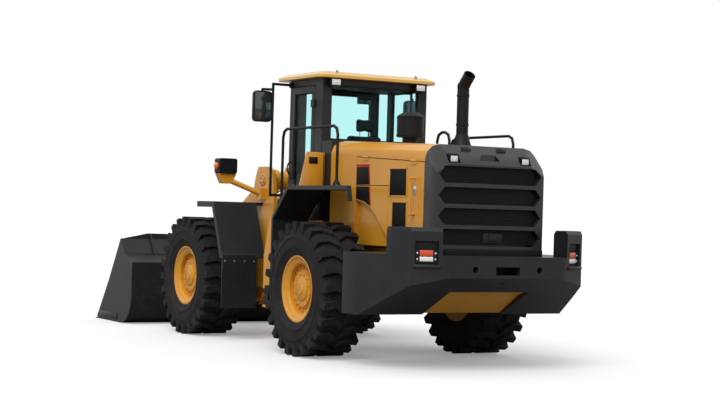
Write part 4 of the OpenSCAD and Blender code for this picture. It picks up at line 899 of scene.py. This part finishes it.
# %% Seat pedestal, arm rests and levers
PEDESTAL_AT = (1050, 0, 1642)
BELLOWS_FOOT, BELLOWS_TOP = [(155, 0), (155, 60)], [(111.6, 385), (111.6, 425)]
FOLD_COUNT, FOLD_PITCH, FOLD_IN, FOLD_OUT = 5, 60, (127.1, 85), (145.7, 115)
POST_X, POST_SIDES, POST_HEIGHTS, POST_RADIUS = 908, (-70, 70), (2650, 2680, 2710), 7
ARM_SIDES = (-288, 252)
ARM_PAD = ((960, 1290), (0, 36), (2330, 2375))
ARM_STAY = ((930, 985), (6, 30), (2250, 2352))
LEVER_PLACES = ((1235, -270, 2372), (1270, -270, 2372))
LEVER = ((6, 0), (5, 60), (12, 75), (13, 105), (7, 118))
folds = list(BELLOWS_FOOT)
for i in range(FOLD_COUNT):
    folds += [(radius, height + i * FOLD_PITCH) for radius, height in (FOLD_IN, FOLD_OUT)]
folds += BELLOWS_TOP
pedestal = add_turned(at(*PEDESTAL_AT), (0, 0, 1), in_metres(folds), segments=40)
settle(pedestal, "seat_pedestal", rubber_seal, "rear_frame")
posts = [pipe_through([(POST_X, y, z) for z in POST_HEIGHTS], POST_RADIUS) for y in POST_SIDES]
settle(joined(posts), "head_rest_posts", rod_steel, "rear_frame")
rests = []
for y in ARM_SIDES:
    rests += [block(moved(ARM_PAD, y), edge=14), block(moved(ARM_STAY, y), edge=8)]
settle(joined(rests), "arm_rests", black, "rear_frame")
levers = [add_turned(at(*place), (0, 0, 1), in_metres(LEVER), segments=20) for place in LEVER_PLACES]
settle(joined(levers), "levers", rubber_seal, "rear_frame")
print("seat fittings made")

# %% [markdown]
# The cab's inside shows through the panes: a headliner with a visor, a ribbed floor mat, an inside mirror
# and the cowl with its dials. Each is a few rounded blocks, and the mat's ribs are an array of one.

# %% Cab inside
HEADLINER = ((722, 1582), (-672, 672), (3246, 3314))
VISOR = ((1500, 1580), (-430, 430), (3180, 3250))
FLOOR_MAT = ((730, 1450), (-640, 640), (1641, 1646))
MAT_RIB, MAT_RIB_COUNT, MAT_RIB_PITCH = ((740, 752), (-630, 630), (1645, 1650)), 24, 29 * MM
MIRROR_STEM = ((1432, -260, 3250), (1432, -260, 3200), (1426, -260, 3150))
MIRROR_BOWL = ((1405, 1428), (-360, -160), (3085, 3170))
DASH_COWL = ((1500, 1584), (-300, 300), (1900, 2080))
DASH_DIALS = ((1440, 1545), (-170, 170), (2060, 2160))
headliner = joined([block(HEADLINER, edge=12), block(VISOR, edge=14)])
settle(headliner, "headliner", black, "rear_frame")
ribs = repeated(block(MAT_RIB, edge=2), MAT_RIB_COUNT, Vector((MAT_RIB_PITCH, 0, 0)))
settle(joined([block(FLOOR_MAT, edge=2), ribs]), "floor_mat", rubber_seal, "rear_frame")
inside_mirror = joined([pipe_through(MIRROR_STEM, 6), block(MIRROR_BOWL, edge=11)])
settle(inside_mirror, "inside_mirror", mirror_face, "rear_frame")
cowl = joined([block(DASH_COWL, edge=30), block(DASH_DIALS, edge=30)])
settle(cowl, "dash_cowl", black, "rear_frame")
print("cab inside made")

# %% [markdown]
# A pane is held in its opening by a rubber seal. The seal is four bars a little inside the opening's edge,
# made by the same function as the louvre frames. The door's seal rides on the door.

# %% Window seals
SEAL_INSET, SEAL_WIDTH, SEAL_DEPTH = 14 * MM, 13 * MM, 12 * MM
SEALS = (("rear_window_seal", (664, -619, 2575), (664, 619, 3240), SEAL_DEPTH, 0, "rear_frame"),
         ("windscreen_seal", (1642, -470, 1900), (1642, 470, 3240), -SEAL_DEPTH, 0, "rear_frame"),
         ("side_window_seal", (836, -731, 2080), (1440, -731, 3240), SEAL_DEPTH, 1, "rear_frame"),
         ("door_window_seal", (940, 731, 1880), (1400, 731, 3150), -SEAL_DEPTH, 1, "cab_door"))
for name, low, high, depth, across, body in SEALS:
    inset = Vector((SEAL_INSET, SEAL_INSET, SEAL_INSET))
    inset[across] = 0
    bars = frame_bars(at(*low) + inset, at(*high) - inset, SEAL_WIDTH, depth, across)
    settle(joined(bars), name, rubber_seal, body)
print("window seals made:", len(SEALS))

# %% [markdown]
# Small fittings of the cab: a wiper with its arm, blade and pivot, the door's handle with its lock, and
# four lifting eyes on the roof. Bent rods are tubes through a few points, and an eye is a spun ring.

# %% Wiper, handle and roof eyes
WIPER_ARM = ((1634, 0, 1925), (1638, 60, 2120), (1640, 130, 2330))
WIPER_BLADE = ((1632, 1642), (126, 140), (2080, 2600))
PIVOT_AT, PIVOT = (1626, 0, 1915), ((22, 0), (22, 10), (15, 16))
HANDLE_GRIP = ((1448, 740, 2150), (1448, 775, 2160), (1448, 775, 2290), (1448, 740, 2300))
HANDLE_LOCK = ((1424, 1472), (736, 752), (2085, 2140))
EYE_PLACES = ((640, 560), (1660, 560), (640, -560), (1660, -560))
EYE_HEIGHT, EYE = 3400, ((14, -6), (22, -6), (22, 6), (14, 6))
arm, blade = pipe_through(WIPER_ARM, 6), block(WIPER_BLADE, edge=3)
pivot = add_turned(at(*PIVOT_AT), (1, 0, 0), in_metres(PIVOT), segments=24)
settle(joined([arm, blade, pivot]), "windscreen_wiper", black, "rear_frame")
handle = joined([pipe_through(HANDLE_GRIP, 9), block(HANDLE_LOCK, edge=6)])
settle(handle, "door_handle", black, "cab_door")
eyes = [add_ring(at(x, y, EYE_HEIGHT), (0, 1, 0), in_metres(EYE), steps=32) for x, y in EYE_PLACES]
settle(joined(eyes), "roof_eyes", bare_steel, "rear_frame")
print("wiper, handle and", len(eyes), "roof eyes made")

# %% [markdown]
# The steel box beside the cab stands on the platform's slope. One side outline is given its width, so that
# its foot can follow the slope and its front can slant. It has a paddle latch on its rear face. The mirrors
# get their glass, a little inside the head's edge.

# %% Tool box and mirror glass
BOX_BACK, BOX_FRONT, BOX_TOP, BOX_LID = 535, 760, 2405, 40
BOX_IN, BOX_OUT, BOX_EDGE = 745, 985, 12 * MM
DECK_TOP, SLOPE_START, SLOPE_END = 1990, 531, (930, 1604)
LATCH_DISH = ((BOX_BACK - 8, BOX_BACK + 1), (845, 965), (2265, 2345))
DISH_PADDLE = ((BOX_BACK - 16, BOX_BACK - 6), (865, 925), (2280, 2330))
LID_EDGE = ((BOX_BACK - 4, BOX_BACK + 1), (BOX_IN + 14, BOX_IN + 22), (2010, 2380))
MIRROR_GLASS = ((1572, 1578), (992, 1208), (2812, 3168))


def slope_height(x):
    """The platform's height ahead of its flat part."""
    return DECK_TOP - (x - SLOPE_START) * (DECK_TOP - SLOPE_END[1]) / (SLOPE_END[0] - SLOPE_START)


outline = [(BOX_BACK, slope_height(BOX_BACK)), (BOX_FRONT, slope_height(BOX_FRONT)), (BOX_FRONT, DECK_TOP),
           (BOX_BACK + BOX_LID, BOX_TOP), (BOX_BACK, BOX_TOP)]
box = add_plate([at(x, BOX_IN, z) for x, z in outline], Vector((0, (BOX_OUT - BOX_IN) * MM, 0)), BOX_EDGE)
settle(box, "tool_box", yellow, "rear_frame")
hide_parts("side_box")
latch = joined([block(LATCH_DISH, edge=4), block(DISH_PADDLE, edge=4), block(LID_EDGE, edge=1)])
settle(latch, "tool_box_latch", black, "rear_frame")
for side_name, side in SIDES:
    glass = bevelled(block(on_side(MIRROR_GLASS, side), edge=2.5), MM)
    settle(glass, "mirror_glass_" + side_name, mirror_face, "rear_frame")
print("tool box and mirrors made")

# %% [markdown]
# Treads. Steps and platforms have raised round studs, so that a boot holds. One stud is turned with few
# faces, because it is repeated hundreds of times, and two array modifiers lay out each field. On the
# platform the rows start behind one another, along its slanted end.

# %% Studs on steps and platforms
STUD = ((9, -1), (7, 4), (4, 5))
STEP_TOPS = ((871, 960, 1135), (1176, 960, 1135), (1480, 955, 1045), (530, 1015, 1135))
STEP_NEAR, STEP_FAR, STEP_PITCH = 1105, 1205, 34
ROW_FIRST, ROW_LAST, ROW_PITCH = 800, 1150, 58
ROW_MARGIN, ROW_FRONT = 60, 480


def stud_field(low, high, pitch):
    """Studs over a flat area between two corners at one height."""
    stud = add_turned(low, (0, 0, 1), in_metres(STUD), segments=8)
    across = max(1, int((high.y - low.y) / pitch) + 1)
    along = max(1, int((high.x - low.x) / pitch) + 1)
    return repeated(repeated(stud, along, Vector((pitch, 0, 0))), across, Vector((0, pitch, 0)))


def slant_x(y):
    """Where the platform's slanted end lies at a distance from the middle."""
    (x0, y0), (x1, y1) = PLATFORM_END[1:3]
    return x0 + (x1 - x0) * (y0 - y) / (y0 - y1)


for side_name, side in SIDES:
    y0, y1 = sorted((side * STEP_NEAR, side * STEP_FAR))
    fields = [stud_field(at(x0, y0, z), at(x1, y1, z), STEP_PITCH * MM) for z, x0, x1 in STEP_TOPS]
    settle(joined(fields), "step_studs_" + side_name, yellow, "rear_frame")
    rows = []
    for y in range(ROW_FIRST, ROW_LAST + 1, ROW_PITCH):
        back, front = at(slant_x(y) + ROW_MARGIN, side * y, DECK_TOP), at(ROW_FRONT, side * y, DECK_TOP)
        rows.append(stud_field(back, front, ROW_PITCH * MM))
    settle(joined(rows), "platform_studs_" + side_name, grey, "rear_frame")
print("studs made")

# %% [markdown]
# Fasteners. The mud flaps, the feet of the handrails and the cutting edge are bolted on. The places of the
# bolts are worked out from a few sizes, and each group is one piece on the body that it holds.

# %% Bolted plates
FLAP_X, FLAP_Z, FLAP_BOLT_SIDES = 2108, 1020, (900, 1040, 1180, 1310)
RAIL_FEET, RAIL_Y, FOOT_ALONG, FOOT_ACROSS = (-620, 481), 1200, (-66, 66), (-28, 28)
EDGE_BOLT_X, EDGE_HALF, EDGE_BOLT_PITCH, EDGE_TOP = 6180, 1400, 200, 30
for side_name, side in SIDES:
    flap = [at(FLAP_X, side * y, FLAP_Z) for y in FLAP_BOLT_SIDES]
    bolt_group("flap_bolts_" + side_name, flap, (-1, 0, 0), "front_frame", 12 * MM)
    feet = [at(x + dx, side * (RAIL_Y + dy), DECK_TOP)
            for x in RAIL_FEET for dx in FOOT_ALONG for dy in FOOT_ACROSS]
    bolt_group("rail_foot_bolts_" + side_name, feet, (0, 0, 1), "rear_frame", 8 * MM)
edge_bolts = [at(EDGE_BOLT_X, y, EDGE_TOP) for y in range(-EDGE_HALF, EDGE_HALF + 1, EDGE_BOLT_PITCH)]
bolt_group("edge_bolts", edge_bolts, (0, 0, 1), "bucket", 20 * MM)
print("bolted plates made")

# %% [markdown]
# Every hinge pin of the linkage ends in a flanged cap with its own bolts, which keeps the pin from walking
# out. The cap is turned from one profile for all sizes, and rides on the body that holds the pin.

# %% Pin caps of the linkage
BOOM_PIN, CRANK_PIN, BUCKET_PIN = (2500, 2080), (3958, 1122), (4760, 400)
PIN_CAPS = (("boom_pin_cap_", BOOM_PIN, 620, 80, "front_frame", yellow, "paint"),
            ("crank_pin_cap_", CRANK_PIN, 200, 80, "boom", yellow, "paint"),
            ("bucket_pin_cap_", BUCKET_PIN, 568, 70, "bucket", worn_steel, "dark"))
CAP_SHARES = ((1, 0), (1, 9), (0.92, 13), (0.5, 13), (0.45, 18))
CAP_BOLT_SHARE, CAP_BOLT_COUNT, CAP_BOLT_OUT = 0.72, 6, 11 * MM
for side_name, side in SIDES:
    out = Vector((0, side, 0))
    for name, (x, z), y, radius, body, material, slot in PIN_CAPS:
        place = at(x, side * y, z)
        profile = in_metres([(share * radius, height) for share, height in CAP_SHARES])
        cap = add_turned(place - out * MM, out, profile)
        settle(cap, name + side_name, material, body)
        ring = circle_places(place + out * CAP_BOLT_OUT, out, radius * MM * CAP_BOLT_SHARE, CAP_BOLT_COUNT)
        bolt_group(name + side_name + "_bolts", ring, out, body, 8 * MM)
print("pin caps made:", 2 * len(PIN_CAPS))

# %% [markdown]
# Rigid oil pipes run along the cylinders' barrels from the port at the foot to the port at the mouth. They
# are placed as shares of the line between the cylinder's two pins, and ride on the barrels.

# %% Cylinder pipes
LIFT_PIN, LIFT_EYE, LIFT_Y = (2331, 1219), (3572, 1282), 325
TILT_PIN, CRANK_TOP = (2332, 2007), (4186, 1636)
LIFT_PORT_SHARES, TILT_PORT_SHARES = (0.16, 0.8), (0.12, 0.56)
PIPE_RISE, PIPE_DROP, PIPE_LEAD, PIPE_RADIUS = 118 * MM, 25 * MM, 30 * MM, 11 * MM
PORT, PORT_DROP = ((24, 0), (24, 16), (17, 20), (17, 30)), 36 * MM


def part_way(p, q, share):
    return [a + (b - a) * share for a, b in zip(p, q)]


def barrel_pipe(name, pins, shares, y, body):
    """A pipe above a barrel, with a port block at each end, from the cylinder's pins in side view."""
    p, q = [at(x, y, z) for x, z in (part_way(*pins, share) for share in shares)]
    along = (q - p).normalized()
    above = Vector((-along.z, 0, along.x))
    rise, foot = above * PIPE_RISE, above * (PIPE_RISE - PIPE_DROP)
    lead = along * PIPE_LEAD
    line = add_pipe([p + foot, p + rise + lead, q + rise - lead, q + foot], PIPE_RADIUS)
    seat = above * (PIPE_RISE - PORT_DROP)
    ports = [add_turned(place + seat, above, in_metres(PORT), segments=24) for place in (p, q)]
    settle(joined([line] + ports), name, black, body)


for side_name, side in SIDES:
    lift_pins = (LIFT_PIN, LIFT_EYE)
    barrel_pipe("lift_pipe_" + side_name, lift_pins, LIFT_PORT_SHARES, side * LIFT_Y, "lift_barrels")
barrel_pipe("tilt_pipe", (TILT_PIN, CRANK_TOP), TILT_PORT_SHARES, 0, "tilt_barrel")
print("cylinder pipes made")

# %% [markdown]
# The exhaust and the air intake are clamped with sheet bands. A band is a thin section spun round the pipe,
# which gives it its rolled edges.

# %% Exhaust and intake bands
STACK_BANDS = ((-800, -350), 70, 26, (2740, 3080))
CAN_BANDS = ((-270, 40), 160, 18, (2612, 2820))
BAND_SUNK, BAND_PROUD, BAND_ROLL = 2, 6, 3
bands = []
for (x, y), radius, height, levels in (STACK_BANDS, CAN_BANDS):
    section = in_metres([(radius - BAND_SUNK, 0), (radius + BAND_PROUD, BAND_ROLL),
                         (radius + BAND_PROUD, height - BAND_ROLL), (radius - BAND_SUNK, height)])
    bands += [add_ring(at(x, y, z), (0, 0, 1), section, steps=64) for z in levels]
settle(joined(bands), "clamp_bands", black, "rear_frame")
print("clamp bands made:", len(bands))

# %% [markdown]
# The bucket is welded from plates. A weld bead runs where the box stiffener meets the bucket's back: a bead
# is a thin tube along the joint. Wear strips stand along the side walls' lower edges.

# %% Bucket welds and wear strips
TIP_X, BUCKET_SIDE = 6330, 1493
STRIP_OUTLINE = ((TIP_X - 150, 40), (TIP_X - 900, 40), (TIP_X - 900, 130), (TIP_X - 210, 130))
STRIP_THICKNESS, STRIP_EDGE = 14 * MM, 4 * MM
LEDGE_FOOT, LEDGE_TOP, LEDGE_INNER = (4911, 550), (5211, 1000), 640
BEAD_RADIUS, BEAD_POINTS, BEAD_SHARES = 8, 12, (0.02, 0.35, 0.68, 0.98)
BEAD_X, BEAD_Z = LEDGE_TOP[0] - 4, LEDGE_TOP[1] + 2
strips, beads = [], []
for _, side in SIDES:
    corners = [at(x, side * BUCKET_SIDE, z) for x, z in STRIP_OUTLINE]
    strips.append(add_plate(corners, Vector((0, side * STRIP_THICKNESS, 0)), STRIP_EDGE))
    inner, outer = side * LEDGE_INNER, side * BUCKET_SIDE
    top_joint = [(BEAD_X, y, BEAD_Z) for y in spread(inner, outer, BEAD_POINTS)]
    beads.append(pipe_through(top_joint, BEAD_RADIUS))
    slanted = [part_way(LEDGE_FOOT, LEDGE_TOP, share) for share in BEAD_SHARES]
    beads.append(pipe_through([(x, inner, z) for x, z in slanted], BEAD_RADIUS))
settle(joined(strips), "wear_strips", worn_steel, "bucket")
settle(joined(beads), "bucket_welds", worn_steel, "bucket")
print("bucket welds and wear strips made")

# %% [markdown]
# The camera was solved from the wheels in the photograph: an 80 mm lens, 1.7 m above the ground, with a
# small roll. Its three axes are worked out from the direction of view and the roll, and become its matrix.

# %% Camera
SENSOR, LENS, VIEW_END = 36.0, 80.3, 300.0
CAMERA_AT, VIEW_DIRECTION, VIEW_ROLL = (-18.625, 9.807, 1.696), (0.8735, -0.4868, 0.0014), math.radians(1.7)
camera_data = bpy.data.cameras.new("camera")
camera_data.sensor_width = SENSOR
camera_data.lens = LENS
camera_data.clip_end = VIEW_END
camera = bpy.data.objects.new("camera", camera_data)
bpy.context.collection.objects.link(camera)
forward = Vector(VIEW_DIRECTION).normalized()
level = forward.cross(Vector((0, 0, 1))).normalized()
upright = level.cross(forward)
right = level * math.cos(VIEW_ROLL) + upright * math.sin(VIEW_ROLL)
up = upright * math.cos(VIEW_ROLL) - level * math.sin(VIEW_ROLL)
turn = Matrix((right, up, -forward)).transposed().to_4x4()
camera.matrix_world = Matrix.Translation(CAMERA_AT) @ turn
bpy.context.scene.camera = camera
print("camera at", CAMERA_AT)

# %% [markdown]
# The studio floor is pale. It is paler for the camera than for the light that it throws back, so that it
# stays white to the horizon, keeps the shadow, and leaves the machine's undersides dark.

# %% Floor
FLOOR_SIZE, FLOOR_GLOW = 400, 0.25
FLOOR_THROWN, FLOOR_SEEN = [0.3, 0.3, 0.3, 1.0], [0.7, 0.7, 0.7, 1.0]
clear_selection()
bpy.ops.mesh.primitive_plane_add(size=FLOOR_SIZE, location=(0, 0, 0))
floor = bpy.context.object
floor.name = "floor"
floor_finish, floor_tree, floor_shader, _ = new_finish("pale_floor")
floor_shader.inputs["Roughness"].default_value = 0.95
floor_shader.inputs["Specular IOR Level"].default_value = 0.0
floor_shader.inputs["Emission Color"].default_value = (1, 1, 1, 1)
seen_directly = floor_tree.nodes.new("ShaderNodeLightPath").outputs["Is Camera Ray"]
floor_colour = blend_colours(floor_tree, seen_directly, FLOOR_THROWN, FLOOR_SEEN)
floor_tree.links.new(floor_colour, floor_shader.inputs["Base Color"])
floor_glow = ramp(floor_tree, seen_directly, 0.0, 1.0, 0.0, FLOOR_GLOW)
floor_tree.links.new(floor_glow, floor_shader.inputs["Emission Strength"])
floor.data.materials.append(floor_finish)
print("floor laid")

# %% [markdown]
# The light is a soft sky and one wide sun. The sky looks white to the camera, in reflections and through
# glass. For all other rays its strength grows with height, so that it lights the object mostly from above.

# %% Sky and sun
SKY_LOW, SKY_HIGH = 0.28, 0.95
SUN_STRENGTH, SUN_WIDTH, SUN_DIRECTION = 1.9, math.radians(35), (0.48, -0.5, -0.72)
world = bpy.data.worlds.new("studio")
bpy.context.scene.world = world
world.use_nodes = True
tree = world.node_tree
background = tree.nodes["Background"]
path = tree.nodes.new("ShaderNodeLightPath")
seen = path.outputs["Is Camera Ray"]
for ray in ("Is Glossy Ray", "Is Transmission Ray"):
    either = tree.nodes.new("ShaderNodeMath")
    either.operation = "MAXIMUM"
    tree.links.new(seen, either.inputs[0])
    tree.links.new(path.outputs[ray], either.inputs[1])
    seen = either.outputs["Value"]
direction = tree.nodes.new("ShaderNodeTexCoord").outputs["Generated"]
sky = ramp(tree, height_of(tree, direction), 0.0, 1.0, SKY_LOW, SKY_HIGH)
shown = tree.nodes.new("ShaderNodeMix")
tree.links.new(seen, shown.inputs["Factor"])
tree.links.new(sky, shown.inputs["A"])
shown.inputs["B"].default_value = 1.0
tree.links.new(shown.outputs["Result"], background.inputs["Strength"])
background.inputs["Color"].default_value = (1, 1, 1, 1)

sun_data = bpy.data.lights.new("sun", "SUN")
sun_data.energy = SUN_STRENGTH
sun_data.angle = SUN_WIDTH
sun = bpy.data.objects.new("sun", sun_data)
bpy.context.collection.objects.link(sun)
sun.rotation_euler = Vector(SUN_DIRECTION).to_track_quat("-Z", "Y").to_euler()

bpy.context.scene.view_settings.view_transform = "Standard"
print("sky and sun set")
